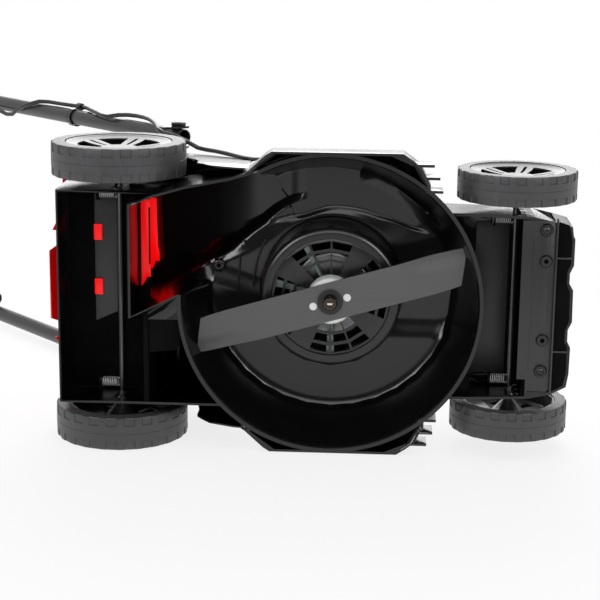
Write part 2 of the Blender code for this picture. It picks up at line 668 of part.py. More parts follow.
def deck_shell():
    """The one-piece moulded deck: drum, skirt, nose, rear body, chute and all their hollows."""
    deck = skirt("deck_shell")
    nose = []
    front_bay = []
    mid_y = (NOSE_END_Y - SHOULDER_Y) / 2
    for y, half in ((-60 * mm, NOSE_ROOT_HALF), (mid_y, (NOSE_HALF + NOSE_ROOT_HALF) / 2), (NOSE_END_Y, NOSE_HALF)):
        nose.append(nose_ring(y, half, 0))
        front_bay.append(nose_ring(max(y, NOSE_END_Y + WALL), half, WALL))
    join(deck, loft("nose", nose))
    join(deck, box("rear", -REAR_HALF, REAR_HALF, 90 * mm, REAR_END_Y, REAR_BOTTOM, PLATFORM_TOP))
    shoulders = prism("shoulders", shoulder_outline(0), -SHOULDER_HALF - 2 * mm, SHOULDER_HALF + 2 * mm, "X")
    join(deck, cut(shoulders, *leaning_sides(0)))
    join(deck, prism("bridge", bridge_outline(0), -REAR_HALF - WALL, REAR_HALF + WALL, "X"))
    edge = FLAP_BARREL_RADIUS - FLAP_THICKNESS - FLAP_SEAT
    cheek = [(REAR_AXLE_Y - 20 * mm, PLATFORM_TOP - 1 * mm), (REAR_END_Y, PLATFORM_TOP - 1 * mm),
             flap_line(flap_reach(REAR_END_Y, edge), edge), flap_line(FLAP_BARREL_RADIUS + 3 * mm, edge)]
    for k in range(4):
        angle = 90 * deg - FLAP_SLOPE + 42 * deg * k
        cheek.append((FLAP_HINGE_Y + FLAP_BARREL_RADIUS * math.cos(angle),
                      FLAP_HINGE_Z + FLAP_BARREL_RADIUS * math.sin(angle)))
    cheek.append((REAR_AXLE_Y - 20 * mm, SHOULDER_TOP - 14 * mm))
    for side in (-1, 1):
        x0, x1 = sorted((side * (REAR_HALF - WALL), side * REAR_HALF))
        join(deck, prism("cheek", cheek, x0, x1, "X"))
    rear_lip = [(REAR_END_Y - WALL, PLATFORM_TOP - 1 * mm), (REAR_END_Y, PLATFORM_TOP - 1 * mm),
                flap_line(flap_reach(REAR_END_Y, edge), edge),
                flap_line(flap_reach(REAR_END_Y - WALL, edge), edge)]
    join(deck, prism("rear_lip", rear_lip, -REAR_HALF, REAR_HALF, "X"))

    bays = [loft("front_bay", front_bay)]
    platform_low = PLATFORM_TOP - WALL
    wall_in = REAR_HALF - WALL
    bays.append(box("rear_bay", -wall_in, wall_in, PARTITION_Y, REAR_END_Y - WALL, -10 * mm, platform_low))
    bays.append(box("right_nook", -wall_in, CHUTE_RIGHT + 8 * mm, 183 * mm, PARTITION_Y + 1 * mm, -10 * mm, platform_low))
    left_pocket = [(min(y, PARTITION_Y - WALL), z) for y, z in bridge_outline(WALL)]
    left_pocket[0] = (SHOULDER_Y + WALL, -10 * mm)
    left_pocket[1] = (PARTITION_Y - WALL, -10 * mm)
    bays.append(prism("left_pocket", left_pocket, CHUTE_LEFT + 2 * WALL, wall_in, "X"))
    for side in (-1, 1):
        x0, x1 = sorted((side * (REAR_HALF + WALL), side * SHOULDER_HALF))
        hollow = prism("shoulder_hollow", shoulder_outline(WALL), x0, x1, "X")
        bays.append(cut(hollow, *leaning_sides(WALL)))
    pocket = [(-3, -70), (-3, 66), (-25, 96), (-127, 60), (-127, -60), (-37, -110), (-15, -98)]
    for side in (-1, 1):
        outline = [(side * (SKIRT_HALF + x * mm), y * mm) for x, y in pocket]
        bays.append(prism("skirt_hollow", outline, -10 * mm, SKIRT_TOP - WALL))
    cut(deck, *bays)

    join(deck, chamber("ring_wall", WALL))
    join(deck, prism("chute_wall", chute_floor_outline(WALL), RIM_Z, 110 * mm))
    join(deck, volute("volute_wall", WALL))
    cut(deck, chamber("cutting_chamber", 0), prism("chute_space", chute_floor_outline(0), -10 * mm, 112 * mm),
        volute("volute_space", 0))
    cut(deck, cylinder("motor_opening", 90.5 * mm, 60 * mm, 200 * mm, segments=24))
    details = []
    for side in (-1, 1):
        details.append(axle_slot("rear_slot", REAR_AXLE_Y, REAR_WHEEL_RADIUS, side, REAR_HALF))
        details.append(axle_slot("front_slot", FRONT_AXLE_Y, FRONT_WHEEL_RADIUS, side, NOSE_HALF))
    hinge = (0, FLAP_HINGE_Y, FLAP_HINGE_Z)
    hinge_bore = (FLAP_ROD_RADIUS + FIT) / math.cos(math.pi / 12)
    details.append(cylinder("hinge_bore", hinge_bore, -REAR_HALF - 9 * mm, REAR_HALF + 9 * mm, "X", hinge, 12))
    for x in (-72 * mm, -2 * mm):
        details.append(box("hook_slot", x - 10 * mm, x + 10 * mm, 288 * mm, 297 * mm, 60 * mm, 110 * mm))
    cut(deck, *details)
    for side in (-1, 1):
        for x, y0, y1 in ((-14, -100, -122), (-29, -108, -129), (-45, -112, -133)):
            at = side * (SKIRT_HALF + x * mm)
            comb = box("comb", at - 1.7 * mm, at + 1.7 * mm, y1 * mm, y0 * mm, RIM_Z, SKIRT_TOP - 6 * mm)
            join(deck, comb)
        post_x = side * REAR_SPRING_X
        post_y = REAR_AXLE_Y + SPRING_REACH + FIT
        join(deck, box("rear_post", post_x - 3 * mm, post_x + 9 * mm, post_y, post_y + 4 * mm,
                       REAR_WHEEL_RADIUS - 6 * mm, PLATFORM_TOP - 1 * mm))
        post_x = side * FRONT_SPRING_X
        post_y = FRONT_AXLE_Y + SPRING_REACH + FIT
        join(deck, box("front_post", post_x - 3 * mm, post_x + 9 * mm, post_y, post_y + 4 * mm,
                       FRONT_WHEEL_RADIUS - 6 * mm, NOSE_ROOF + 2 * mm))
        x = side * BUMPER_SCREW_X
        tab = box("bumper_tab", x - 8 * mm, x + 8 * mm, BUMPER_SCREW_Y - 7 * mm, NOSE_END_Y + 2 * mm,
                  BUMPER_TAB_Z, BUMPER_TAB_Z + 3.5 * mm)
        join(deck, tab)
        cut(deck, cylinder("tab_hole", SCREW_RADIUS + 2 * FIT, BUMPER_TAB_Z - 2 * mm, BUMPER_TAB_Z + 6 * mm,
                           centre=(x, BUMPER_SCREW_Y, 0), segments=10))
    return dress(tidy(deck), "black_plastic", True)


# Bumper

def front_bumper():
    """A shell open to the rear, with a wavy front, two ribs and two screw towers."""
    back = NOSE_END_Y - FIT
    corner = NOSE_HALF / mm
    front = [(6 - corner, -271), (11 - corner, -289), (22 - corner, -290.5), (-87, -292.6), (-55, -292.6),
             (-45, -288.2), (-32, -288.2), (-24.5, -293), (15, -293.6), (25, -289), (41, -289), (47, -293),
             (80, -292.6), (corner - 16, -290), (corner - 6, -271)]
    front = [(x * mm, BUMPER_FRONT_Y + (y + 293) * mm) for x, y in front]
    outline = [(NOSE_HALF, back)] + [(-x, y) for x, y in front] + [(-NOSE_HALF, back)]
    outline = [(-x, y) for x, y in outline]
    bumper = prism("front_bumper", outline, NOSE_BOTTOM, BUMPER_TOP)
    inner = NOSE_HALF - 5 * mm
    hollow_front = BUMPER_FRONT_Y + 9 * mm
    hollow = [(-inner, back + 5 * mm), (-inner, hollow_front + 16 * mm), (13 * mm - inner, hollow_front),
              (inner - 13 * mm, hollow_front), (inner, hollow_front + 16 * mm), (inner, back + 5 * mm)]
    cut(bumper, prism("hollow", hollow, NOSE_BOTTOM + 4 * mm, BUMPER_TOP - WALL),
        box("mouth", -inner + 4 * mm, inner - 4 * mm, -269 * mm, back + 5 * mm, 0, NOSE_BOTTOM + 8 * mm))
    for x in (-58 * mm, 50 * mm):
        join(bumper, box("rib", x - 1.3 * mm, x + 1.3 * mm, hollow_front - 1 * mm, back - 1 * mm,
                         NOSE_BOTTOM + 8 * mm, BUMPER_TOP - 1 * mm))
    for side in (-1, 1):
        at = (side * BUMPER_SCREW_X, BUMPER_SCREW_Y, 0)
        low = BUMPER_TAB_Z + 3.5 * mm + FIT
        join(bumper, cylinder("tower", 6 * mm, low, BUMPER_TOP - 1 * mm, centre=at, segments=16))
        cut(bumper, cylinder("tower_bore", SCREW_RADIUS + FIT, low - 2 * mm, low + 16 * mm, centre=at, segments=12))
    return dress(tidy(bumper), "black_plastic", True)


def bumper_screw(side):
    low = BUMPER_TAB_Z - FIT
    head = 2.2 * SCREW_RADIUS
    profile = [(0, low - 3.2 * mm), (0.8 * head, low - 3.2 * mm), (head, low - 2 * mm), (head, low),
               (SCREW_RADIUS, low), (SCREW_RADIUS, low + 18 * mm), (0, low + 18 * mm)]
    name = "bumper_screw_left" if side > 0 else "bumper_screw_right"
    return spun(name, profile, 8, "zinc_steel", centre=(side * BUMPER_SCREW_X, BUMPER_SCREW_Y, 0))


# Blade and drive

def smooth_step(value):
    value = min(1.0, max(0.0, value))
    return value * value * (3 - 2 * value)


def cutting_blade():
    """A flat bar with slanted tips, raised trailing edges and sharpened leading edges."""
    half_w = BLADE_WIDTH / 2
    widths = [-half_w, -16 * mm, -6 * mm, 6 * mm, 16 * mm, half_w]
    stations = [-1, -0.9, -0.8, -0.7, -0.6, 0.6, 0.7, 0.8, 0.9, 1]
    rings = []
    for share in stations:
        ahead = 1 if share > 0 else -1
        lower = []
        upper = []
        for w in widths:
            trailing = (half_w - w * ahead) / BLADE_WIDTH
            reach = BLADE_LENGTH / 2 * share
            reach -= ahead * 15 * mm * trailing * smooth_step((abs(share) - 0.5) / 0.5)
            lift = BLADE_WING * smooth_step((abs(share) - 0.60) / 0.30) * smooth_step((trailing - 0.55) / 0.45)
            thickness = BLADE_THICKNESS
            if trailing < 0.05:
                thickness -= 2.2 * mm * smooth_step((abs(share) - 0.5) / 0.12)
            x = -math.sin(BLADE_ANGLE) * reach - math.cos(BLADE_ANGLE) * w
            y = -math.cos(BLADE_ANGLE) * reach + math.sin(BLADE_ANGLE) * w
            z = BLADE_Z - BLADE_THICKNESS / 2 + lift
            lower.append((x, y, z))
            upper.append((x, y, z + thickness))
        rings.append(lower + upper[::-1])
    blade = loft("blade", rings)
    cutters = [cylinder("bore", BOLT_RADIUS + FIT, 0, 80 * mm)]
    for side in (-1, 1):
        at = (-math.sin(BLADE_ANGLE) * BLADE_HOLE_AT * side, -math.cos(BLADE_ANGLE) * BLADE_HOLE_AT * side, 0)
        cutters.append(cylinder("hole", BLADE_HOLE, 0, 80 * mm, centre=at, segments=10))
    cut(blade, *cutters)
    return dress(blade, "blade_steel", True)


def blade_drive():
    """Bolt, washer, hub, spindle, fan and motor on the blade's axis."""
    under = BLADE_Z - BLADE_THICKNESS / 2 - FIT
    over = BLADE_Z + BLADE_THICKNESS / 2 + FIT
    washer_low = under - WASHER_HEIGHT
    head_high = washer_low - FIT
    hub_high = over + HUB_HEIGHT
    spindle_low = hub_high + FIT
    shank_high = spindle_low + 17 * mm
    bolt = prism("blade_bolt", [(BOLT_HEAD_RADIUS * math.cos(k * 60 * deg), BOLT_HEAD_RADIUS * math.sin(k * 60 * deg))
                                for k in range(6)], head_high - BOLT_HEAD_HEIGHT, head_high)
    join(bolt, cylinder("shank", BOLT_RADIUS, head_high - 2 * mm, shank_high))
    dress(bolt, "zinc_steel", True)
    bore = BOLT_RADIUS + FIT
    washer = spun("blade_washer", [(bore, washer_low), (WASHER_RADIUS, washer_low), (WASHER_RADIUS, under),
                                   (bore, under)], 16, "axle_steel", loop=True)
    hub = spun("blade_hub", [(bore, over), (HUB_RADIUS - 3 * mm, over), (HUB_RADIUS, over + 3 * mm),
                             (HUB_RADIUS, hub_high), (bore, hub_high)], 20, loop=True)
    for side in (-1, 1):
        at = (-math.sin(BLADE_ANGLE) * BLADE_HOLE_AT * side, -math.cos(BLADE_ANGLE) * BLADE_HOLE_AT * side, 0)
        join(hub, cylinder("peg", BLADE_HOLE - FIT, over - BLADE_THICKNESS, over + 2 * mm, centre=at, segments=10))
    dress(hub, "white_nylon", True)
    spindle_high = spindle_low + 82.4 * mm
    spindle = spun("spindle", [(0, shank_high + FIT), (bore, shank_high + FIT), (bore, spindle_low),
                               (SPINDLE_RADIUS, spindle_low), (SPINDLE_RADIUS, spindle_high), (0, spindle_high)],
                   12, "axle_steel")
    stations = []
    for k in range(FAN_BLADES):
        middle = 2 * math.pi * k / FAN_BLADES
        stations += [middle - 4 * deg, middle + 4 * deg]
    motor_bore = SPINDLE_RADIUS + FIT
    fan_bore = (SPINDLE_RADIUS + FIT) / math.cos(math.pi / FAN_BLADES)
    fan = perforated("cooling_fan", [(fan_bore, 63.5 * mm), (22 * mm, 63.5 * mm), (FAN_RADIUS - 4 * mm, 64 * mm),
                                     (FAN_RADIUS, 64 * mm)],
                     [(fan_bore, 71 * mm), (22 * mm, 71 * mm), (FAN_RADIUS - 4 * mm, 67 * mm), (FAN_RADIUS, 67 * mm)],
                     stations, lambda i, j: i == 1 and j % 2 == 1, "fan_plastic")
    motor_low = MOTOR_FLANGE_Z + 3.2 * mm - 57 * mm
    bored = motor_low + 65 * mm
    motor = spun("drive_motor", [(0, bored), (motor_bore, bored), (motor_bore, motor_low),
                                 (MOTOR_RADIUS - 8 * mm, motor_low),
                                 (MOTOR_RADIUS, motor_low + 6 * mm), (MOTOR_RADIUS, MOTOR_FLANGE_Z),
                                 (96 * mm, MOTOR_FLANGE_Z), (96 * mm, MOTOR_FLANGE_Z + 3.2 * mm),
                                 (MOTOR_RADIUS + 2 * mm, MOTOR_FLANGE_Z + 3.2 * mm),
                                 (MOTOR_RADIUS, motor_low + MOTOR_HEIGHT + 5 * mm), (0, motor_low + MOTOR_HEIGHT + 5 * mm)],
                 12, "motor_steel")
    return [bolt, washer, hub, spindle, fan], motor


def motor_cover():
    """Disc with three rows of windows, standing down into the chamber from a flange on the deck."""
    low = COVER_Z
    skin = COVER_SKIN
    edge = COVER_RADIUS
    flange = ROOF_Z + WALL + FIT
    radii = [12 * mm, 27 * mm, 45 * mm, 48 * mm, 58 * mm, 62 * mm, 71 * mm]
    lower = [(r, low) for r in radii] + [(edge, low + 4 * mm), (edge, flange), (edge + 10 * mm, flange)]
    upper = [(r, low + skin) for r in radii] + [(edge - skin, low + 7 * mm), (edge - skin, flange + skin),
                                                (edge + 10 * mm, flange + skin)]
    stations = []
    for k in range(16):
        start = 22.5 * deg * k - 45 * deg
        stations += [start + 1.25 * deg, start + 21.25 * deg] if k % 4 != 3 else [start + 11.25 * deg]

    def is_open(i, j):
        return i in (1, 3, 5) and j % 7 in (0, 2, 4)

    return perforated("motor_cover", lower, upper, stations, is_open, "black_plastic", smooth=True)


def coil_gap(name, path, radius, apart):
    """Print the least gap of a wound wire to itself, between points that lie a good part of a turn apart."""
    least = min((path[i] - path[k]).length for i in range(len(path)) for k in range(i + apart, len(path)))
    print(name, "least gap to itself", round((least - 2 * radius) / mm, 2), "mm")


# Rear flap

def rear_flap():
    """Plate on a barrel, its lower edge stepped, with a gap for the spring."""
    def lower_edge(x):
        steps = [(44, 165), (50, 151), (67, 140), (70, 159), (95, 140), (134, 140)]
        for k in range(len(steps) - 1):
            if steps[k][0] <= x <= steps[k + 1][0]:
                share = (x - steps[k][0]) / (steps[k + 1][0] - steps[k][0])
                return steps[k][1] + share * (steps[k + 1][1] - steps[k][1])
        return steps[0][1]

    ends = [0, 44, 50, 67, 70, 95, FLAP_HALF / mm]
    bottom = [(-x, lower_edge(x)) for x in ends[:0:-1]] + [(x, lower_edge(x)) for x in ends[1:]]
    neck = REAR_HALF - WALL - 1.5 * mm
    shoulder = 2 * FLAP_BARREL_RADIUS + 2 * mm
    outline = [(x * mm, along * mm * FLAP_LENGTH / (165 * mm)) for x, along in bottom]
    outline += [(FLAP_HALF, shoulder), (neck, shoulder), (neck, 0), (-neck, 0), (-neck, shoulder),
                (-FLAP_HALF, shoulder)]
    outer = FLAP_BARREL_RADIUS
    inner = FLAP_BARREL_RADIUS - FLAP_THICKNESS
    rings = []
    for off in (inner, outer):
        ring = []
        for x, along in outline:
            y, z = flap_line(along, off)
            ring.append((x, y, z))
        rings.append(ring)
    flap = loft("rear_flap", rings)
    at = (0, FLAP_HINGE_Y, FLAP_HINGE_Z)
    join(flap, cylinder("barrel", FLAP_BARREL_RADIUS, -neck, neck, "X", at, 14))
    for x in (-80 * mm, 0, 80 * mm):
        rib = [flap_line(8 * mm, inner - 5 * mm), flap_line(8 * mm, inner + 1 * mm),
               flap_line(100 * mm, inner + 1 * mm), flap_line(100 * mm, inner - 1.5 * mm)]
        join(flap, prism("rib", rib, x - 1.2 * mm, x + 1.2 * mm, "X"))
    gap = [flap_line(-12 * mm, -9 * mm), flap_line(-12 * mm, 9 * mm), flap_line(11 * mm, 9 * mm),
           flap_line(11 * mm, -9 * mm)]
    gap_low = FLAP_SPRING_X - 2.5 * mm
    gap_high = FLAP_SPRING_X + FLAP_SPRING_CURLS * FLAP_SPRING_PITCH + 3.5 * mm
    cut(flap, prism("spring_gap", gap, gap_low, gap_high, "X"),
        cylinder("bore", FLAP_ROD_RADIUS + FIT, -neck - 2 * mm, neck + 2 * mm, "X", at, 12))
    return dress(tidy(flap), "red_plastic", True)


def flap_rod():
    at = (0, FLAP_HINGE_Y, FLAP_HINGE_Z)
    end = REAR_HALF + 2 * mm
    profile = [(0, -end - 2 * mm), (FLAP_ROD_RADIUS + 1.5 * mm, -end - 1.4 * mm), (FLAP_ROD_RADIUS + 1.5 * mm, -end),
               (FLAP_ROD_RADIUS, -end), (FLAP_ROD_RADIUS, end), (FLAP_ROD_RADIUS + 1.5 * mm, end),
               (FLAP_ROD_RADIUS + 1.5 * mm, end + 1.4 * mm), (0, end + 2 * mm)]
    return spun("flap_hinge_rod", profile, 10, "axle_steel", "X", at)


def flap_spring():
    """Torsion spring round the rod: one leg on the deck's edge, the other under the flap."""
    coil = FLAP_ROD_RADIUS + 1.6 * mm
    first = 192 * deg
    last = 25 * deg - 360 * deg * (FLAP_SPRING_CURLS - 1)
    count = 8 * FLAP_SPRING_CURLS
    path = []
    for k in range(count + 1):
        angle = first + (last - first) * k / count
        x = FLAP_SPRING_X + FLAP_SPRING_PITCH * (first - angle) / (2 * math.pi)
        path.append(Vector((x, FLAP_HINGE_Y + coil * math.cos(angle), FLAP_HINGE_Z + coil * math.sin(angle))))

    def away(angle, length):
        return Vector((0, math.sin(angle), -math.cos(angle))) * length

    path.insert(0, path[0] - away(first, 15 * mm))
    path.append(path[-1] + away(last, 15 * mm))
    coil_gap("flap_spring", path[1:-1], SPRING_WIRE, 5)
    return sweep("flap_spring", path, SPRING_WIRE, 6, "zinc_steel")


def axle_spring(name, x, y, z):
    """Tension spring from an axle rearwards: helix of radius SPRING_COIL_RADIUS along +Y."""
    start = y + AXLE_RADIUS + FIT
    path = [Vector((x + SPRING_COIL_RADIUS, start, z))]
    count = 8 * SPRING_CURLS
    for k in range(count + 1):
        angle = 2 * math.pi * k / 8
        path.append(Vector((x + SPRING_COIL_RADIUS * math.cos(angle), start + SPRING_END + SPRING_PITCH * k / 8,
                            z + SPRING_COIL_RADIUS * math.sin(angle))))
    path.append(path[-1] + Vector((0, SPRING_END, 0)))
    coil_gap(name, path[1:-1], SPRING_WIRE, 5)
    return sweep(name, path, SPRING_WIRE, 6, "zinc_steel")


# Wheels

def axle(name, y, z, track, tyre_width):
    """Rod with a collar inside each wheel and a button outside it."""
    end = track / 2 - BUTTON_IN + 2 * mm
    collar = track / 2 - tyre_width - 0.5 * mm - FIT
    profile = [(0, -end), (1.6 * AXLE_RADIUS, -end), (1.6 * AXLE_RADIUS, -end + 2 * mm), (AXLE_RADIUS, -end + 2 * mm),
               (AXLE_RADIUS, -collar), (1.8 * AXLE_RADIUS, -collar), (1.8 * AXLE_RADIUS, -collar + 2.5 * mm),
               (AXLE_RADIUS, -collar + 2.5 * mm)]
    profile += [(r, -h) for r, h in reversed(profile)]
    return spun(name, profile, 8, "axle_steel", "X", (0, y, z))


def wheel(name, side, y, z, track, radius, width, depth):
    """Tyre, rim and cap of one wheel. Offsets along the axle are measured from the outer face."""
    outer_face = track / 2
    at = (0, y, z)
    bead = radius - depth

    def place(profile):
        return [(r, side * (outer_face - inward)) for r, inward in profile]

    tyre_profile = [(bead, width), (bead, 0), (radius - 1 * mm, 0), (radius, width / 2), (radius - 1 * mm, width)]
    tyre = spun(name + "_tyre", place(tyre_profile), 2 * CLEATS, None, "X", at, loop=True)
    count = 2 * CLEATS
    centre = Vector(at)
    for row, dent in ((2, 3.5 * mm), (4, 3.5 * mm)):
        for j in range(1, count, 2):
            vertex = tyre.data.vertices[row * count + j]
            arm = vertex.co - centre
            arm.x = 0
            vertex.co -= arm.normalized() * dent
    dress(tyre, "tyre_plastic", True)

    seat = bead - FIT
    bore = AXLE_RADIUS + FIT
    hub_out = BUTTON_IN + FIT
    web_out = hub_out + 1 * mm
    web_in = web_out + 2.5 * mm
    barrel = seat - 3 * mm
    outer_skin = [(bore, hub_out), (0.36 * bead, web_out), (0.78 * bead, web_out), (barrel, web_out),
                  (barrel, 4.4 * mm), (seat, 4.4 * mm)]
    inner_skin = [(bore, width + 0.5 * mm), (0.36 * bead, web_in), (0.78 * bead, web_in), (barrel, web_in),
                  (barrel, width - 1.5 * mm), (seat, width - 1.5 * mm)]
    stations = [2 * math.pi * j / 15 for j in range(15)]
    rim = perforated(name + "_rim", place(outer_skin), place(inner_skin), stations,
                     lambda i, j: i == 1 and j % 3 == 0, "dark_grey_plastic", "X", at, True)

    cap_radius = bead - FIT
    dish = [(0.22 * bead, 10 * mm), (0.38 * bead, 9.5 * mm), (0.87 * cap_radius, 2.2 * mm), (cap_radius, 0.8 * mm)]
    stations = []
    for k in range(5):
        for offset in (-20, 0, 20, 36):
            stations.append((72 * k + offset) * deg)

    def is_open(i, j):
        return i == 1 and j % 4 in (0, 1)

    cap = perforated(name + "_cap", place(dish), place([(r, h + CAP_SKIN) for r, h in dish]), stations, is_open,
                     "dark_grey_plastic", "X", at, True, closed=True)
    return [tyre, rim, cap]


# Handle

def on_handle(along, off, x):
    """A point given by the distance up the handle from its lower pivot and the distance above it."""
    return Vector((x, PIVOT_Y + along * math.cos(HANDLE_SLOPE) - off * math.sin(HANDLE_SLOPE),
                   PIVOT_Z + along * math.sin(HANDLE_SLOPE) + off * math.cos(HANDLE_SLOPE)))


def lay_on_handle(piece, along):
    """Stand a piece made about the origin on the handle, its Y axis up the tube."""
    turn = Matrix.Rotation(HANDLE_SLOPE, 4, "X")
    piece.data.transform(Matrix.Translation(on_handle(along, 0, 0)) @ turn)
    return piece


def pipe(name, path, radius, wall, sides, kind):
    """A hollow tube along a path."""
    outer = sweep("outer", path, radius, sides)
    inner = sweep("inner", path, radius - wall, sides)
    count = len(outer.data.vertices) // sides
    rings = []
    for piece, order in ((outer, range(count)), (inner, range(count - 1, -1, -1))):
        for i in order:
            rings.append([piece.data.vertices[i * sides + j].co.copy() for j in range(sides)])
    for piece in (outer, inner):
        bpy.data.objects.remove(piece, do_unlink=True)
    return loft(name, rings, kind, True, closed=True)


def handle_bracket(side):
    """Two ears on a foot, with a web behind the tube."""
    x = side * LOWER_TUBE_X
    gap = TUBE_RADIUS + FIT
    ears = []
    base_z = SHOULDER_TOP + FIT
    ear_r = 14 * mm
    outline = [(PIVOT_Y - 10 * mm, base_z), (PIVOT_Y - ear_r, PIVOT_Z)]
    for k in range(1, 5):
        angle = math.pi - k * math.pi / 5
        outline.append((PIVOT_Y + ear_r * math.cos(angle), PIVOT_Z + ear_r * math.sin(angle)))
    outline += [(PIVOT_Y + ear_r, PIVOT_Z), (PIVOT_Y + 19 * mm, PIVOT_Z - 11 * mm), (PIVOT_Y + 19 * mm, base_z)]
    inner = sorted((x - side * gap, x - side * (gap + 3.7 * mm)))
    name = "handle_bracket_left" if side > 0 else "handle_bracket_right"
    bracket = prism(name, outline, inner[0], inner[1], "X")
    outline_out = [(PIVOT_Y + 2 * mm, PIVOT_Z - ear_r)] + outline[1:-1] + [(PIVOT_Y + 19 * mm, base_z + 3 * mm)]
    outer = sorted((x + side * gap, x + side * (gap + 3 * mm)))
    foot = sorted((side * (SHOULDER_HALF - 34 * mm), x - side * (gap + 1 * mm)))
    web = sorted((x - side * (gap + 2 * mm), x + side * (gap + 1 * mm)))
    join(bracket, prism("outer_ear", outline_out, outer[0], outer[1], "X"),
         box("foot", foot[0], foot[1], PIVOT_Y - 7 * mm, PIVOT_Y + 28 * mm, base_z, base_z + 4 * mm),
         box("web", web[0], web[1], PIVOT_Y + 15 * mm, PIVOT_Y + 19 * mm, base_z + 2 * mm, PIVOT_Z - 11 * mm))
    bore = (PIVOT_BOLT_RADIUS + FIT) / math.cos(math.pi / 12)
    cut(bracket, cylinder("pivot_bore", bore, -220 * mm, 220 * mm, "X", (0, PIVOT_Y, PIVOT_Z), 12))
    return dress(bracket, "black_plastic", True)


def pivot_bolt(side):
    """Bolt through bracket and tube, with a knob outside and a nut inside."""
    r = PIVOT_BOLT_RADIUS
    inside = LOWER_TUBE_X - TUBE_RADIUS - 4 * mm - 2 * FIT
    outside = LOWER_TUBE_X + TUBE_RADIUS + 3 * mm + 2 * FIT
    end = outside + 5.4 * mm
    profile = [(0, inside - 5 * mm), (7 * mm, inside - 5 * mm), (7 * mm, inside), (r, inside), (r, outside),
               (10 * mm, outside), (10 * mm, end - 1.5 * mm), (8 * mm, end), (0, end)]
    name = "pivot_bolt_left" if side > 0 else "pivot_bolt_right"
    return spun(name, [(radius, side * x) for radius, x in profile], 10, "dark_grey_plastic", "X",
                (0, PIVOT_Y, PIVOT_Z))


def lower_handle(side):
    x = side * LOWER_TUBE_X
    name = "lower_handle_left" if side > 0 else "lower_handle_right"
    tube = pipe(name, [on_handle(-12 * mm, 0, x), on_handle(FOLD_AT + FOLD_OVERLAP, 0, x)],
                TUBE_RADIUS, TUBE_WALL, 12, "tube_enamel")
    cut(tube, cylinder("pivot_hole", PIVOT_BOLT_RADIUS + 2 * FIT, -200 * mm, 200 * mm, "X", on_handle(0, 0, 0), 8),
        cylinder("fold_hole", PIN_RADIUS + 2 * FIT, -200 * mm, 200 * mm, "X", on_handle(FOLD_AT, 0, 0), 8))
    return dress(tidy(tube), "tube_enamel", True)


def upper_handle():
    """U-shaped tube beside the lower ones, bored for the fold bolts and the start lever."""
    leg = UPPER_LEG_X
    start = FOLD_AT - FOLD_OVERLAP
    corners = [on_handle(start, 0, leg), on_handle(UPPER_END, 0, leg), on_handle(UPPER_END, 0, -leg),
               on_handle(start, 0, -leg)]
    tube = pipe("upper_handle", rounded_path(corners, HANDLE_CORNER, 4), TUBE_RADIUS, TUBE_WALL, 10, None)
    cut(tube, cylinder("fold_hole", PIN_RADIUS + 2 * FIT, -200 * mm, 200 * mm, "X", on_handle(FOLD_AT, 0, 0), 8),
        cylinder("bail_hole", BAIL_WIRE + 2 * FIT, 100 * mm, leg, "X", on_handle(BAIL_AT, 0, 0), 8))
    return dress(tidy(tube), "tube_enamel", True)


def fold_bolt(side):
    """Bolt through both tubes at the fold, with a head outside and an eye inside for the lever."""
    head = LOWER_TUBE_X + TUBE_RADIUS + FIT
    eye = FOLD_EYE_X
    profile = [(0, eye - 5 * mm), (5 * mm, eye - 5 * mm), (5 * mm, eye + 5 * mm), (PIN_RADIUS, eye + 6 * mm),
               (PIN_RADIUS, head), (8 * mm, head), (8 * mm, head + 2 * mm), (5 * mm, head + 4 * mm), (0, head + 4 * mm)]
    name = "fold_bolt_left" if side > 0 else "fold_bolt_right"
    bolt = spun(name, [(radius, side * x) for radius, x in profile], 8, None, "X", on_handle(FOLD_AT, 0, 0))
    pin = cylinder("pin", 1.8 * mm, -FOLD_CAM / 2 - 1 * mm, FOLD_CAM / 2 + 1 * mm, "Z", segments=8)
    pin = lay_on_handle(pin, FOLD_AT)
    pin.data.transform(Matrix.Translation((side * eye, 0, 0)))
    join(bolt, pin)
    return dress(bolt, "zinc_steel", True)


def fold_lever(side):
    """Cam lever: a fork on the bolt's pin and a blade lying along the tube when it is closed."""
    eye = FOLD_EYE_X
    cam = UPPER_LEG_X - TUBE_RADIUS - FIT - eye
    outline = []
    for k in range(7):
        angle = (-90 + 30 * k) * deg
        outline.append((cam * math.cos(angle) * side, cam * math.sin(angle)))
    outline += [(-2 * mm * side, cam), (-6 * mm * side, 60 * mm), (-12 * mm * side, 62 * mm),
                (-12 * mm * side, 20 * mm), (-9 * mm * side, -cam + 2 * mm)]
    name = "fold_lever_left" if side > 0 else "fold_lever_right"
    lever = prism(name, outline, -FOLD_CAM / 2, FOLD_CAM / 2)
    cut(lever, box("fork", -30 * mm, 30 * mm, -20 * mm, 12 * mm, -5 * mm - FIT, 5 * mm + FIT),
        cylinder("pin_bore", 1.8 * mm + FIT, -20 * mm, 20 * mm, segments=8))
    lever.data.transform(Matrix.Translation((side * eye, 0, 0)))
    return dress(lay_on_handle(lever, FOLD_AT), "red_plastic", True)


def foam_grip():
    bore = TUBE_RADIUS + FIT
    profile = [(bore, -GRIP_HALF), (GRIP_RADIUS - 2 * mm, -GRIP_HALF), (GRIP_RADIUS, -GRIP_HALF + 3 * mm),
               (GRIP_RADIUS, GRIP_HALF - 3 * mm), (GRIP_RADIUS - 2 * mm, GRIP_HALF), (bore, GRIP_HALF)]
    return spun("foam_grip", profile, 16, "foam", "X", on_handle(UPPER_END, 0, 0), loop=True)


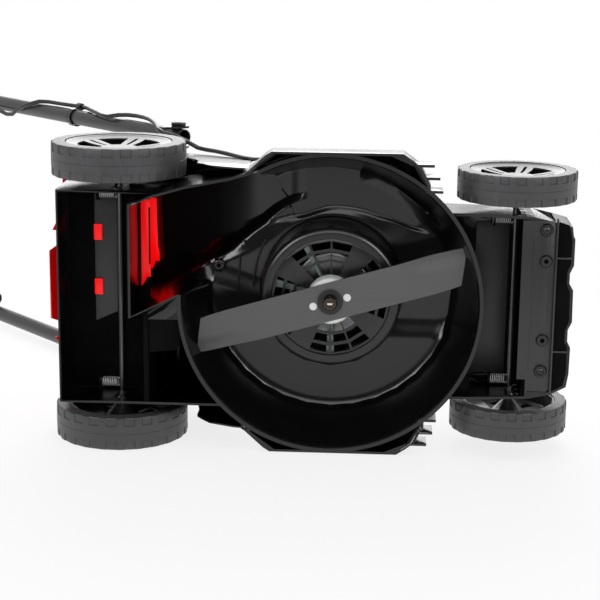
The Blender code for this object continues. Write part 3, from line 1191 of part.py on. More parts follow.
def switch_box():
    """Box round the right leg, with a well for the lock button and a bore for the start lever."""
    piece = bevel_box("switch_box", BOX_X[0], BOX_X[1], BOX_Y[0], BOX_Y[1], BOX_Z[0], BOX_Z[1], 5 * mm, segments=1)
    leg = (-UPPER_LEG_X, 0, 0)
    bail_y = BAIL_AT - BOX_AT
    cut(piece, cylinder("leg_bore", TUBE_RADIUS + FIT, -90 * mm, 90 * mm, "Y", leg, 20),
        cylinder("button_well", BUTTON_RADIUS + FIT, 2 * mm, 40 * mm, "Z", (BUTTON_X, BUTTON_Y, 0), 20),
        cylinder("bail_bore", BAIL_WIRE + FIT, BOX_X[1] - 8 * mm, BOX_X[1] + 20 * mm, "X", (0, bail_y, 0), 12))
    return dress(lay_on_handle(piece, BOX_AT), "black_plastic", True)


def lock_button():
    top = BOX_Z[1] + 6 * mm
    low = BOX_Z[1] - 8 * mm
    profile = [(0, low), (BUTTON_RADIUS, low), (BUTTON_RADIUS, top - 1.5 * mm), (BUTTON_RADIUS - 1.5 * mm, top),
               (0, top)]
    button = spun("lock_button", profile, 14, "red_plastic", "Z", (BUTTON_X, BUTTON_Y, 0))
    return lay_on_handle(button, BOX_AT)


def bail_lever():
    """Start lever: a U of wire turning in the left leg and the switch box."""
    left = UPPER_LEG_X - TUBE_RADIUS - BAIL_INSIDE
    right = BOX_X[1] + 9 * mm
    reach_y = BAIL_REACH * math.cos(BAIL_SLOPE)
    reach_z = BAIL_REACH * math.sin(BAIL_SLOPE)
    corners = [Vector((UPPER_LEG_X - 6.5 * mm, 0, 0)), Vector((left, 0, 0)), Vector((left, reach_y, reach_z)),
               Vector((right, reach_y, reach_z)), Vector((right, 0, 0)), Vector((BOX_X[1] - 5.5 * mm, 0, 0))]
    lever = sweep("bail_lever", rounded_path(corners, 6.5 * mm, 2), BAIL_WIRE, 8, "tube_enamel")
    return lay_on_handle(lever, BAIL_AT)


# Cable

def smooth_path(points, spacing):
    """A smooth curve through the points, read at even steps."""
    line = [Vector(p) for p in points]
    dense = []
    for i in range(len(line) - 1):
        before = line[max(i - 1, 0)]
        a, b = line[i], line[i + 1]
        after = line[min(i + 2, len(line) - 1)]
        for k in range(12):
            t = k / 12
            dense.append(0.5 * ((2 * a) + (b - before) * t + (2 * before - 5 * a + 4 * b - after) * t * t
                                + (3 * a - before - 3 * b + after) * t * t * t))
    dense.append(line[-1])
    lengths = [0.0]
    for a, b in zip(dense, dense[1:]):
        lengths.append(lengths[-1] + (b - a).length)
    count = max(2, round(lengths[-1] / spacing))
    path = []
    seek = 0
    for k in range(count + 1):
        target = lengths[-1] * k / count
        while seek < len(lengths) - 2 and lengths[seek + 1] < target:
            seek += 1
        share = (target - lengths[seek]) / (lengths[seek + 1] - lengths[seek])
        path.append(dense[seek].lerp(dense[seek + 1], share))
    return path


def cable_lower():
    """Cable from the hood over the right shoulder and up the right tube to its clip."""
    start = Vector((-90, GLAND_Y / mm, GLAND_Z / mm)) * mm
    route = [(-113, 25, 166), (-124, 30, 166), (-139, 48, 164), (-152, 72, 156), (-158.8, 88, 141),
             (-159.6, 101, 131), (-159.8, 110, 135), (-159.8, 119, 148), (-159.5, 129, 164), (-160.3, 143, 179),
             (-160.6, 158, 196), (-160, 173, 213), (-161.5, 185, 221.5), (-167, 195, 221), (-174, 206, 219.5),
             (-178, 220, 218.5), (-180.5, 231, 221), (-182.5, 237.5, 230), (-184.5, 241, 246), (-186.5, 247, 269),
             (-188, 260, 302),
             (-188.6, 274, 323), (-188.6, 290, 338), (-187.8, 306, 348), (-185, 320, 349), (-184, 333, 361),
             (-186.5, 349, 386), (-187, 366, 424)]
    points = [Vector(p) * mm for p in route]
    points += [on_handle(CLIP_AT - 22 * mm, CLIP_OFF, CLIP_X), on_handle(CLIP_AT - 8 * mm, CLIP_OFF, CLIP_X)]
    path = [start] + smooth_path(points, 17.5 * mm) + [on_handle(CLIP_AT - FIT / 2, CLIP_OFF, CLIP_X)]
    return sweep("cable_lower", path, CABLE_RADIUS, 8, "cable_rubber")


def cable_upper():
    """Cable from its clip, twisting behind the right tube and up to the switch box."""
    start = on_handle(CLIP_AT + FIT / 2, CLIP_OFF, CLIP_X)
    points = [on_handle(CLIP_AT + 8 * mm, CLIP_OFF, CLIP_X)]
    route = [(-187, 412.3, 474.6), (-187, 434, 496), (-187, 452, 507), (-181.5, 471.5, 515), (-172, 492, 533),
             (-160, 510, 553), (-164, 534, 579)]
    points += [Vector(p) * mm for p in route]
    for along, off, x in ((490, -17, -164), (520, -17, -158), (560, -16.8, -150), (640, -16.8, -149),
                          (700, -16.8, -149), (750, -16.8, -147), (785, -13, -137)):
        points.append(on_handle(along * mm, off * mm, x * mm))
    box_end = BOX_AT + BOX_Y[0]
    points.append(on_handle(box_end - 22 * mm, -2 * mm, CABLE_ENTRY_X))
    points.append(on_handle(box_end - 10 * mm, -2 * mm, CABLE_ENTRY_X))
    path = [start] + smooth_path(points, 17.5 * mm) + [on_handle(box_end - FIT, -2 * mm, CABLE_ENTRY_X)]
    return sweep("cable_upper", path, CABLE_RADIUS, 8, "cable_rubber")


def cable_clip(name, along, off, x, leg_x):
    """Two rings in one: the larger on the tube, the smaller round the cable."""
    thick = 2 * mm
    width = 5 * mm
    tube = (TUBE_RADIUS + FIT) / math.cos(math.pi / 12)
    hold = CABLE_RADIUS + FIT
    clip = spun(name, [(tube, -width), (tube + thick, -width), (tube + thick, width), (tube, width)], 12, None, "Y",
                (leg_x, 0, 0), loop=True)
    join(clip, spun("hold", [(hold, -width), (hold + thick, -width), (hold + thick, width), (hold, width)], 8, None,
                    "Y", (x, 0, off), loop=True))
    return dress(lay_on_handle(clip, along), "black_plastic", True)


def cable_gland():
    hold = CABLE_RADIUS + FIT
    outer = -HOOD_HALF_X + 2.2 * mm
    profile = [(hold, outer + 8 * mm), (hold + 1 * mm, outer + 8 * mm), (hold + 1 * mm, outer),
               (hold + 4 * mm, outer), (hold + 4 * mm, outer - 2.5 * mm), (hold + 1.4 * mm, outer - 9 * mm),
               (hold, outer - 9 * mm)]
    return spun("cable_gland", profile, 10, "cable_rubber", "X", (0, GLAND_Y, GLAND_Z), loop=True)


# Hood, battery and carry handle

def hood_ring(z, scale, inset, count=20):
    """A rounded outline of the hood at a height."""
    ring = []
    for k in range(count):
        angle = 2 * math.pi * k / count
        c, s = math.cos(angle), math.sin(angle)
        power = 2 / 2.6
        x = (HOOD_HALF_X * scale - inset) * math.copysign(abs(c) ** power, c)
        y = (HOOD_HALF_Y * scale - inset) * math.copysign(abs(s) ** power, s)
        ring.append((x, HOOD_Y + y, z))
    return ring


def top_hood():
    bottom = ROOF_Z + WALL + FIT
    levels = [(bottom, 1.0), (205 * mm, 0.965), (230 * mm, 0.93), (HOOD_TOP, 0.86)]
    rings = [hood_ring(z, scale, 0) for z, scale in reversed(levels)]
    for z, scale in levels:
        rings.append(hood_ring(min(z, HOOD_TOP - WALL) if z > bottom else z, scale, WALL))
    hood = loft("top_hood", rings)
    lugs = []
    for side in (-1, 1):
        x0, x1 = sorted((side * (LID_BARREL_HALF + FIT), side * (LID_BARREL_HALF + 6 * mm)))
        outline = [(LID_HINGE_Y - 6 * mm, HOOD_TOP - 2 * mm), (LID_HINGE_Y + 4 * mm, HOOD_TOP - 2 * mm),
                   (LID_HINGE_Y + 4 * mm, LID_HINGE_Z), (LID_HINGE_Y + 2 * mm, LID_HINGE_Z + 4 * mm),
                   (LID_HINGE_Y - 2 * mm, LID_HINGE_Z + 4 * mm), (LID_HINGE_Y - 4 * mm, LID_HINGE_Z)]
        lugs.append(prism("lug", outline, x0, x1, "X"))
    join(hood, *lugs)
    y0 = BAY_Y - BAY_HALF_Y - FIT
    y1 = BAY_Y + BAY_HALF_Y + FIT
    cut(hood, box("bay_opening", -BAY_HALF_X - FIT, BAY_HALF_X + FIT, y0, y1, 200 * mm, 260 * mm),
        cylinder("lid_pin_bore", LID_PIN_RADIUS + FIT, -60 * mm, 60 * mm, "X", (0, LID_HINGE_Y, LID_HINGE_Z), 12),
        cylinder("gland_bore", CABLE_RADIUS + 2 * FIT + 1 * mm, -120 * mm, -80 * mm, "X", (0, GLAND_Y, GLAND_Z), 16))
    return dress(tidy(hood), "black_plastic", True)


def battery_bay():
    """Open box hung by a flange in the hood, with a socket for the safety key."""
    low = HOOD_TOP + FIT + 2.2 * mm - BAY_DEPTH - 5 * mm
    high = HOOD_TOP + FIT + 2.2 * mm
    y0 = BAY_Y - BAY_HALF_Y
    y1 = BAY_Y + BAY_HALF_Y
    bay = box("battery_bay", -BAY_HALF_X, BAY_HALF_X, y0, y1, low, high)
    join(bay, box("flange", -BAY_HALF_X - 6 * mm, BAY_HALF_X + 6 * mm, y0 - 5 * mm, y1 + 5 * mm, HOOD_TOP + FIT, high))
    floor = low + BAY_WALL
    cut(bay, box("space", -BAY_HALF_X + BAY_WALL, BAY_HALF_X - BAY_WALL, y0 + BAY_WALL, y1 - BAY_WALL, floor, high + 5 * mm))
    socket_high = high - 44 * mm
    join(bay, box("socket", -14 * mm, 14 * mm, y0 + 1 * mm, KEY_Y + 6 * mm, floor - 1 * mm, socket_high))
    cut(bay, box("slot", -KEY_HALF - FIT, KEY_HALF + FIT, KEY_Y - 3 * mm - FIT, KEY_Y + 3 * mm + FIT,
                 socket_high - 28 * mm, socket_high + 5 * mm))
    return dress(bay, "black_plastic", True), floor, socket_high


def battery_pack(floor):
    y1 = BAY_Y + BAY_HALF_Y - BAY_WALL - LOOSE
    y0 = y1 - BATTERY_LENGTH
    low = floor + FIT
    high = low + BATTERY_HEIGHT
    pack = bevel_box("battery_pack", -BATTERY_HALF_X, BATTERY_HALF_X, y0, y1, low, high, 3 * mm)
    grip = [(-26 * mm, high - 6 * mm), (26 * mm, high - 6 * mm), (26 * mm, high + 8 * mm), (-26 * mm, high + 8 * mm)]
    cut(pack, prism("grip_front", grip, y0 + 14 * mm, y0 + 34 * mm, "Y"),
        prism("grip_rear", grip, y1 - 34 * mm, y1 - 14 * mm, "Y"))
    return dress(pack, "dark_grey_plastic", True)


def safety_key(socket_high):
    key = box("safety_key", -KEY_HALF, KEY_HALF, KEY_Y - 3 * mm, KEY_Y + 3 * mm, socket_high - 26 * mm, socket_high + 4 * mm)
    join(key, bevel_box("grip", -2 * KEY_HALF, 2 * KEY_HALF, KEY_Y - 4.5 * mm, KEY_Y + 4.5 * mm,
                        socket_high + FIT, socket_high + 24 * mm, 2 * mm, segments=1))
    return dress(key, "red_plastic", True)


def battery_lid():
    """Lid over the bay, turning on trunnions at its front edge."""
    low = HOOD_TOP + 2 * FIT + 2.2 * mm
    high = low + LID_RISE
    y0 = BAY_Y - BAY_HALF_Y - 7 * mm
    y1 = BAY_Y + BAY_HALF_Y + 8 * mm
    half = BAY_HALF_X + 8 * mm
    lid = bevel_box("battery_lid", -half, half, y0, y1, low, high + 4 * mm, 4 * mm, segments=1)
    cut(lid, box("trim", -100 * mm, 100 * mm, -200 * mm, 200 * mm, high, high + 20 * mm),
        box("hollow", -half + LID_THICKNESS, half - LID_THICKNESS, y0 + LID_THICKNESS, y1 - LID_THICKNESS,
            0, high - LID_THICKNESS))
    arm = [(LID_HINGE_Y, LID_HINGE_Z - LID_BARREL), (LID_HINGE_Y, LID_HINGE_Z + LID_BARREL),
           (y0 + 2 * mm, LID_HINGE_Z + LID_BARREL), (y0 + 2 * mm, LID_HINGE_Z - LID_BARREL + 1 * mm)]
    at = (0, LID_HINGE_Y, LID_HINGE_Z)
    join(lid, cylinder("barrel", LID_BARREL, -LID_BARREL_HALF, LID_BARREL_HALF, "X", at, 12),
         prism("arm", arm, -LID_BARREL_HALF, LID_BARREL_HALF, "X"),
         cylinder("trunnion", LID_PIN_RADIUS, -LID_BARREL_HALF - 4 * mm, LID_BARREL_HALF + 4 * mm, "X", at, 12))
    return dress(lid, "black_plastic", True)


def carry_handle():
    foot = NOSE_TOP + FIT
    half = 62 * mm
    high = foot + 42 * mm
    corners = [(-half, CARRY_Y, foot), (-half, CARRY_Y, high), (half, CARRY_Y, high), (half, CARRY_Y, foot)]
    shape = [(9 * mm * math.cos(2 * math.pi * k / 10), 6 * mm * math.sin(2 * math.pi * k / 10)) for k in range(10)]
    return sweep("carry_handle", rounded_path(corners, 22 * mm, 3), 0, 10, "black_plastic", shape=shape)


def build():
    global origin_empty
    clear_scene()
    origin_empty = bpy.data.objects.new("machine_origin", None)
    bpy.context.scene.collection.objects.link(origin_empty)

    fixed = [deck_shell(), front_bumper(), bumper_screw(-1), bumper_screw(1), motor_cover(), flap_rod(), flap_spring()]
    turning, motor = blade_drive()
    fixed.append(motor)
    turning.append(cutting_blade())
    for piece in turning:
        settle(piece, (0, 0, BLADE_Z), origin_empty)
    settle(rear_flap(), (0, FLAP_HINGE_Y, FLAP_HINGE_Z), origin_empty)

    places = (("front", FRONT_AXLE_Y, FRONT_WHEEL_RADIUS, FRONT_TRACK, FRONT_TYRE_WIDTH, FRONT_TYRE_DEPTH,
               FRONT_SPRING_X),
              ("rear", REAR_AXLE_Y, REAR_WHEEL_RADIUS, REAR_TRACK, REAR_TYRE_WIDTH, REAR_TYRE_DEPTH, REAR_SPRING_X))
    for end, y, z, track, width, depth, spring_x in places:
        frame = pivot(end + "_axle_slide", (0, y, z))
        rod = axle(end + "_axle", y, z, track, width)
        hang([rod], frame)
        for side, hand in ((1, "left"), (-1, "right")):
            name = end + "_" + hand
            for piece in wheel(name, side, y, z, track, z, width, depth):
                piece.data.transform(Matrix.Translation((0, -y, -z)))
                piece.parent = frame
            fixed.append(axle_spring("axle_spring_" + name, side * spring_x, y, z))

    lower_frame = pivot("lower_fold", (0, PIVOT_Y, PIVOT_Z))
    upper_frame = pivot("upper_fold", on_handle(FOLD_AT, 0, 0))
    lower_pieces = []
    for side in (-1, 1):
        fixed += [handle_bracket(side), pivot_bolt(side)]
        lower_pieces += [lower_handle(side), fold_bolt(side)]
        settle(fold_lever(side), on_handle(FOLD_AT, 0, side * FOLD_EYE_X), origin_empty)
    lower_pieces += [cable_clip("cable_clip_lower", CLIP_AT, CLIP_OFF, CLIP_X, -LOWER_TUBE_X), cable_upper()]
    hang(lower_pieces, lower_frame)
    upper_pieces = [upper_handle(), foam_grip(), switch_box(),
                    cable_clip("cable_clip_upper", UPPER_CLIP_AT, -16.8 * mm, -UPPER_LEG_X + 0.7 * mm, -UPPER_LEG_X)]
    hang(upper_pieces, upper_frame)
    settle(lock_button(), on_handle(BOX_AT + BUTTON_Y, BOX_Z[1], BUTTON_X), origin_empty)
    settle(bail_lever(), on_handle(BAIL_AT, 0, 0), origin_empty)
    fixed += [cable_lower(), cable_gland(), top_hood(), carry_handle()]

    bay, floor, socket_high = battery_bay()
    fixed.append(bay)
    settle(battery_pack(floor), (0, BAY_Y, floor), origin_empty)
    settle(safety_key(socket_high), (0, KEY_Y, socket_high), origin_empty)
    settle(battery_lid(), (0, LID_HINGE_Y, LID_HINGE_Z), origin_empty)
    for piece in fixed:
        piece.parent = origin_empty

    bpy.context.view_layer.update()
    low = Vector((1e9, 1e9, 1e9))
    high = -low
    for piece in bpy.context.scene.objects:
        if piece.type != "MESH":
            continue
        for vertex in piece.data.vertices:
            point = piece.matrix_world @ vertex.co
            low = Vector(map(min, low, point))
            high = Vector(map(max, high, point))
    origin_empty.location = (-(low.x + high.x) / 2, -(low.y + high.y) / 2, -low.z)
    bpy.context.view_layer.update()


build()
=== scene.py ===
"""Looks of a cordless lawn mower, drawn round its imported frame.

The photograph shows the machine from below and behind, so the underside has the finest work:
wheels with notched treads and dished caps, wound springs, the nose and rear bays and the drum.
"""

import json
import math

import bmesh
import bpy
import numpy as np
from bpy.props import FloatProperty, FloatVectorProperty, IntProperty, PointerProperty
from mathutils import Matrix, Vector


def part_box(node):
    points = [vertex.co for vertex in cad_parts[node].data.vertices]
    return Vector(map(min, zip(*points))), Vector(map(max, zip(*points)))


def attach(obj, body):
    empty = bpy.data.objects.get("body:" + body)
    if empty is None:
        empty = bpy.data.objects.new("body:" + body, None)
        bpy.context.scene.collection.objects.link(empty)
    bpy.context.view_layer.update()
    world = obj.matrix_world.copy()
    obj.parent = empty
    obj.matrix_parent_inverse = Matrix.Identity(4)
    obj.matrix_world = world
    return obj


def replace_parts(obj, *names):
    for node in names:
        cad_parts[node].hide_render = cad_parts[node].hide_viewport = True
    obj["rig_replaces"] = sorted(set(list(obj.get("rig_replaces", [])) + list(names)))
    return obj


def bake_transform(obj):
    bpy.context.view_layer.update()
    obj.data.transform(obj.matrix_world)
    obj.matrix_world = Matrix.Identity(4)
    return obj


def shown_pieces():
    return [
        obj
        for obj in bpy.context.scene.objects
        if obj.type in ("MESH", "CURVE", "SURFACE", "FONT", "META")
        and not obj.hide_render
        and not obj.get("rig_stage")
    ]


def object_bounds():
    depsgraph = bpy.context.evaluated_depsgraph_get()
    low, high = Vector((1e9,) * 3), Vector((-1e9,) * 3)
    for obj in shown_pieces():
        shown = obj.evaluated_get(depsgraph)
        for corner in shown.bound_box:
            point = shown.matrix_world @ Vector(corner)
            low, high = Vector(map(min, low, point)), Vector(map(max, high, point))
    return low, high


bl_info = {
    "name": "Cordless mower looks",
    "version": (1, 0, 0),
    "blender": (4, 5, 0),
    "location": "View3D > Sidebar > Mower",
    "description": "Draws the visible pieces, finishes, light and camera of a cordless lawn mower",
    "category": "Object",
}

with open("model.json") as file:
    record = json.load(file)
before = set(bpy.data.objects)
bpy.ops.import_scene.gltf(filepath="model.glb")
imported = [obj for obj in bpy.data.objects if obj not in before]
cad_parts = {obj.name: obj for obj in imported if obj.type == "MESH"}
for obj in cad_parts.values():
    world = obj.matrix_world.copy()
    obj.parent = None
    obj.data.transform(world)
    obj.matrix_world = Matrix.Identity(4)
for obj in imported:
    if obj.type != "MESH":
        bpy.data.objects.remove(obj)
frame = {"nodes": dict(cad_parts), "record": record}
CAD_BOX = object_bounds()
mm = 0.001
TURN = 2 * math.pi


def middle(node):
    """Centre of a node's box in the frame."""
    low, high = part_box(node)
    return (low + high) / 2


# The blade's axis: what was measured from it in the photograph is placed from here
AXIS = Vector((0.0, middle("blade_washer").y, 0.0))


def from_axis(x, y, z):
    """A point given in millimetres from the blade's axis and the ground."""
    return Vector((x * mm, AXIS.y + y * mm, z * mm))


# Settings a user would change

LENGTH = {"unit": "LENGTH", "subtype": "DISTANCE"}
COLOUR = {"size": 3, "subtype": "COLOR", "min": 0, "max": 1}


class MowerWheelSettings(bpy.types.PropertyGroup):
    """Tread and cap of the wheels."""
    notches: IntProperty(name="Notches", description="Notches round each shoulder of a tread", default=23,
                         min=8, max=60)
    notch_depth: FloatProperty(name="Notch depth", description="How far a notch is let into the tread",
                               default=1.1 * mm, **LENGTH)
    seam_depth: FloatProperty(name="Seam depth", description="Depth of the line round the tread's middle",
                              default=0.35 * mm, **LENGTH)
    windows: IntProperty(name="Windows", description="Windows in a wheel cap", default=5, min=3, max=9)


class MowerSpringSettings(bpy.types.PropertyGroup):
    """Springs that carry the axles."""
    curls: IntProperty(name="Curls", description="Turns of an axle spring", default=8, min=4, max=20)
    wire: FloatProperty(name="Wire", description="Radius of the spring wire", default=0.5 * mm, **LENGTH)
    coil: FloatProperty(name="Coil", description="Radius of the turns", default=5.9 * mm, **LENGTH)


class MowerColourSettings(bpy.types.PropertyGroup):
    """Colours of the finishes."""
    deck: FloatVectorProperty(name="Deck", description="Moulded deck and covers",
                              default=(0.0105, 0.0105, 0.0110), **COLOUR)
    wheel: FloatVectorProperty(name="Wheels", description="Treads, rims and caps",
                               default=(0.034, 0.034, 0.036), **COLOUR)
    accent: FloatVectorProperty(name="Accent", description="Flap, levers, buttons and key",
                                default=(0.86, 0.003, 0.004), **COLOUR)
    steel: FloatVectorProperty(name="Blade", description="Rolled steel of the blade",
                               default=(0.150, 0.150, 0.152), **COLOUR)


class MowerDrumSettings(bpy.types.PropertyGroup):
    """Levels of the cutting drum's roof above the ground."""
    low_roof: FloatProperty(name="Low roof", description="Roof on the left half", default=112 * mm, **LENGTH)
    high_roof: FloatProperty(name="High roof", description="Roof past the ramp at the front",
                             default=117.6 * mm, **LENGTH)
    fillet: FloatProperty(name="Fillet", description="Radius between the ring wall and the roof",
                          default=24 * mm, **LENGTH)
    lean: FloatProperty(name="Lean", description="How far the ring wall leans in for its height",
                        default=0.218)
    step: FloatProperty(name="Step", description="Height of the steep edge along the ridge",
                        default=2.2 * mm, **LENGTH)


class MowerBladeSettings(bpy.types.PropertyGroup):
    """Form of the cutting blade."""
    length: FloatProperty(name="Length", description="Length of the blade", default=338 * mm, **LENGTH)
    width: FloatProperty(name="Width", description="Width of the blade", default=47 * mm, **LENGTH)
    thickness: FloatProperty(name="Thickness", description="Thickness of the steel", default=3 * mm,
                             **LENGTH)
    skew: FloatProperty(name="Skew", description="How far the ends are cut askew", default=9 * mm, **LENGTH)
    wing: FloatProperty(name="Wing", description="Rise of the trailing edges", default=7 * mm, **LENGTH)
    wing_side: IntProperty(name="Wing side", description="1 or -1: which long edge turns up", default=1)
    turn: FloatProperty(name="Turn", description="Angle of the blade at rest", default=math.radians(16.3),
                        unit="ROTATION", subtype="ANGLE")


class MowerStageSettings(bpy.types.PropertyGroup):
    """Light and camera."""
    daylight: FloatProperty(name="Daylight", description="Strength of the white surroundings", default=0.80,
                            min=0, max=3)
    shade: FloatProperty(name="Shade", description="Brightness mirrored from behind the camera",
                         default=0.09, min=0, max=1)
    back_light: FloatProperty(name="Back light", description="Power of the lamp behind the machine",
                              default=26.0, unit="POWER")
    side_light: FloatProperty(name="Side light", description="Power of each lamp beside the camera",
                              default=17.0, unit="POWER")
    lens: FloatProperty(name="Lens", description="Focal length on a 36 mm sensor", default=95.77)


# Shader maths

class Level:
    """A shader socket that takes part in Python sums: each operator adds one Math node."""

    def __init__(self, finish, socket):
        self.finish = finish
        self.socket = socket

    def __add__(self, other):
        return self.finish.sum_of("ADD", self, other)

    def __radd__(self, other):
        return self.finish.sum_of("ADD", other, self)

    def __sub__(self, other):
        return self.finish.sum_of("SUBTRACT", self, other)

    def __rsub__(self, other):
        return self.finish.sum_of("SUBTRACT", other, self)

    def __mul__(self, other):
        return self.finish.sum_of("MULTIPLY", self, other)

    def __rmul__(self, other):
        return self.finish.sum_of("MULTIPLY", other, self)

    def between(self, low, high):
        """0 below low, 1 above high, eased in between."""
        return self.finish.node("ShaderNodeMapRange", "Result", {"interpolation_type": "SMOOTHSTEP"},
                                {"Value": self, "From Min": low, "From Max": high})


def rgba(colour):
    """A colour as a socket takes it: a link as it is, three numbers with a full fourth."""
    return colour if isinstance(colour, Level) else (*colour[:3], 1.0)


def tinted(colour, share):
    """A colour made darker or lighter."""
    return tuple(c * share for c in colour)


class Finish:
    """The nodes of one material or world, and the patterns that vary it."""

    def __init__(self, name, kind="materials"):
        self.material = getattr(bpy.data, kind).new(name)
        self.material.use_nodes = True
        self.tree = self.material.node_tree
        self.tree.nodes.clear()

    def node(self, kind, output, settings=None, inputs=None):
        """Adds a node, sets it, fills its sockets with numbers, colours or links, and gives one output."""
        made = self.tree.nodes.new(kind)
        for key, value in (settings or {}).items():
            setattr(made, key, value)
        for key, value in (inputs or {}).items():
            if isinstance(value, Level):
                self.tree.links.new(value.socket, made.inputs[key])
            else:
                made.inputs[key].default_value = value
        return Level(self, made.outputs[output])

    def sum_of(self, operation, first, second):
        """A Math node on two numbers or links."""
        return self.node("ShaderNodeMath", "Value", {"operation": operation}, {0: first, 1: second})

    def place(self):
        """Object coordinates."""
        return self.node("ShaderNodeTexCoord", "Object")

    def ray(self, kind):
        """1 for rays of one kind, such as "Is Camera Ray"."""
        return self.node("ShaderNodeLightPath", kind)

    def noise(self, scale, detail=2.0, stretch=(1, 1, 1), turn=(0, 0, 0), roughness=0.5):
        """Noise from 0 to 1 on object coordinates, turned and stretched."""
        where = self.node("ShaderNodeMapping", "Vector", None,
                          {"Vector": self.place(), "Rotation": turn, "Scale": stretch})
        return self.node("ShaderNodeTexNoise", "Fac", None,
                         {"Vector": where, "Scale": scale, "Detail": detail, "Roughness": roughness})

    def mix(self, share, low, high):
        """A colour between low and high."""
        return self.node("ShaderNodeMix", 2, {"data_type": "RGBA"}, {0: share, 6: rgba(low), 7: rgba(high)})

    def bump(self, height, distance, strength=1.0, under=None):
        """A Bump node over one or another bump."""
        inputs = {"Height": height, "Distance": distance, "Strength": strength}
        if under is not None:
            inputs["Normal"] = under
        return self.node("ShaderNodeBump", "Normal", None, inputs)

    def either(self, share, first, second):
        """The first shader where share is 0, the second where it is 1."""
        return self.node("ShaderNodeMixShader", "Shader", None, {0: share, 1: first, 2: second})

    def end(self, shader, kind="ShaderNodeOutputMaterial"):
        """Ends the nodes in a shader, and gives the material or world."""
        self.tree.links.new(shader.socket, self.tree.nodes.new(kind).inputs["Surface"])
        return self.material

    def surface(self, colour, roughness, metallic, normal, ior=1.5):
        """Ends the material in a Principled surface."""
        return self.end(self.node("ShaderNodeBsdfPrincipled", "BSDF", None, {
            "Base Color": rgba(colour), "Roughness": roughness, "Metallic": metallic, "IOR": ior,
            "Normal": normal}))


def moulded_plastic(name, colour, roughness, grain=0.03, dust=0.25):
    """Moulded plastic: a fine grain, flow clouds and a little dust in colour and gloss."""
    finish = Finish(name)
    clouds = finish.noise(14, 3)
    streaks = finish.noise(60, 2, (1, 5, 1))
    fine = finish.noise(1900, 1)
    light = tuple(c * 1.6 + 0.004 for c in colour)
    tone = finish.mix((clouds * 0.6 + streaks * 0.4).between(0.45, 0.75) * dust, colour, light)
    gloss = roughness + (clouds - 0.5) * 0.10 + (streaks - 0.5) * 0.06
    relief = finish.bump(fine, grain * mm, 0.6, finish.bump(clouds, 0.15 * mm, 0.25))
    return finish.surface(tone, gloss, 0.0, relief)


def shadowed_plastic(name, colour):
    """Textured plastic in painted shade, darker than the deck and mirroring nothing, as deep in the hollows.
    """
    finish = Finish(name)
    grain = finish.noise(800, 2)
    clouds = finish.noise(20, 3)
    tone = finish.mix(clouds.between(0.35, 0.7), colour, tinted(colour, 1.6))
    return finish.surface(tone, 0.75 + (clouds - 0.5) * 0.1, 0.0, finish.bump(grain, 0.05 * mm, 0.5), 1.12)


def painted_glow_plastic(name, colour, roughness, glow, through):
    """Thin bright plastic: part of it scatters onwards through a Translucent shader, and it glows by emission,
    a painted glow that stands in for daylight shining through.
    """
    finish = Finish(name)
    clouds = finish.noise(14, 3)
    fine = finish.noise(1900, 1)
    tone = finish.mix(clouds.between(0.4, 0.7) * 0.3, colour, tinted(colour, 0.82))
    # The emission is painted light: the plastic glows though it is no lamp
    inputs = {"Base Color": tone, "Roughness": roughness + (clouds - 0.5) * 0.1, "Emission Color": tone,
              "Emission Strength": glow, "Normal": finish.bump(fine, 0.02 * mm, 0.6)}
    shader = finish.node("ShaderNodeBsdfPrincipled", "BSDF", None, inputs)
    behind = finish.node("ShaderNodeBsdfTranslucent", "BSDF", None, {"Color": tone})
    return finish.end(finish.either(through, shader, behind))


def rolled_steel(name, colour, roughness, along, metallic=0.85):
    """Steel with rolling marks along one direction, given as a turn about Z in radians."""
    finish = Finish(name)
    marks = finish.noise(300, 3, (1, 0.02, 1), (0, 0, along), 0.6)
    clouds = finish.noise(11, 3)
    specks = finish.noise(700, 2)
    tone = finish.mix((marks * 0.6 + clouds * 0.4).between(0.35, 0.7), tinted(colour, 0.94),
                      tuple(min(1, c * 1.05) for c in colour))
    tone = finish.mix(specks.between(0.66, 0.72) * 0.25, tone, tinted(colour, 0.45))
    gloss = roughness + (marks - 0.5) * 0.08 + (clouds - 0.5) * 0.06
    return finish.surface(tone, gloss, metallic, finish.bump(marks, 0.008 * mm, 0.4))


def drawn_wire(name, colour, roughness, metallic=1.0):
    """Plated wire or bar with fine specks and a cloudy gloss."""
    finish = Finish(name)
    specks = finish.noise(900, 2)
    clouds = finish.noise(40, 3)
    tone = finish.mix((specks * 0.5 + clouds * 0.5).between(0.4, 0.65), tinted(colour, 0.75), colour)
    gloss = roughness + (clouds - 0.5) * 0.18
    return finish.surface(tone, gloss, metallic, finish.bump(specks, 0.02 * mm, 0.4))


def foamed_rubber(name, colour):
    """Closed foam: cells as a fine bump, matt."""
    finish = Finish(name)
    cells = finish.node("ShaderNodeTexVoronoi", "Distance", None, {"Vector": finish.place(), "Scale": 900})
    clouds = finish.noise(30, 3)
    tone = finish.mix(clouds.between(0.3, 0.7), colour, tinted(colour, 1.7))
    return finish.surface(tone, 0.82 + (clouds - 0.5) * 0.1, 0.0, finish.bump(cells, 0.25 * mm, 0.7))


def powder_coat(name, colour, roughness):
    """Baked powder on tube: orange peel and small dull spots."""
    finish = Finish(name)
    peel = finish.noise(420, 1)
    clouds = finish.noise(22, 3)
    tone = finish.mix(clouds.between(0.4, 0.7) * 0.5, colour, tinted(colour, 1.5))
    return finish.surface(tone, roughness + (clouds - 0.5) * 0.12, 0.0, finish.bump(peel, 0.05 * mm, 0.5))


FINISHES = {}


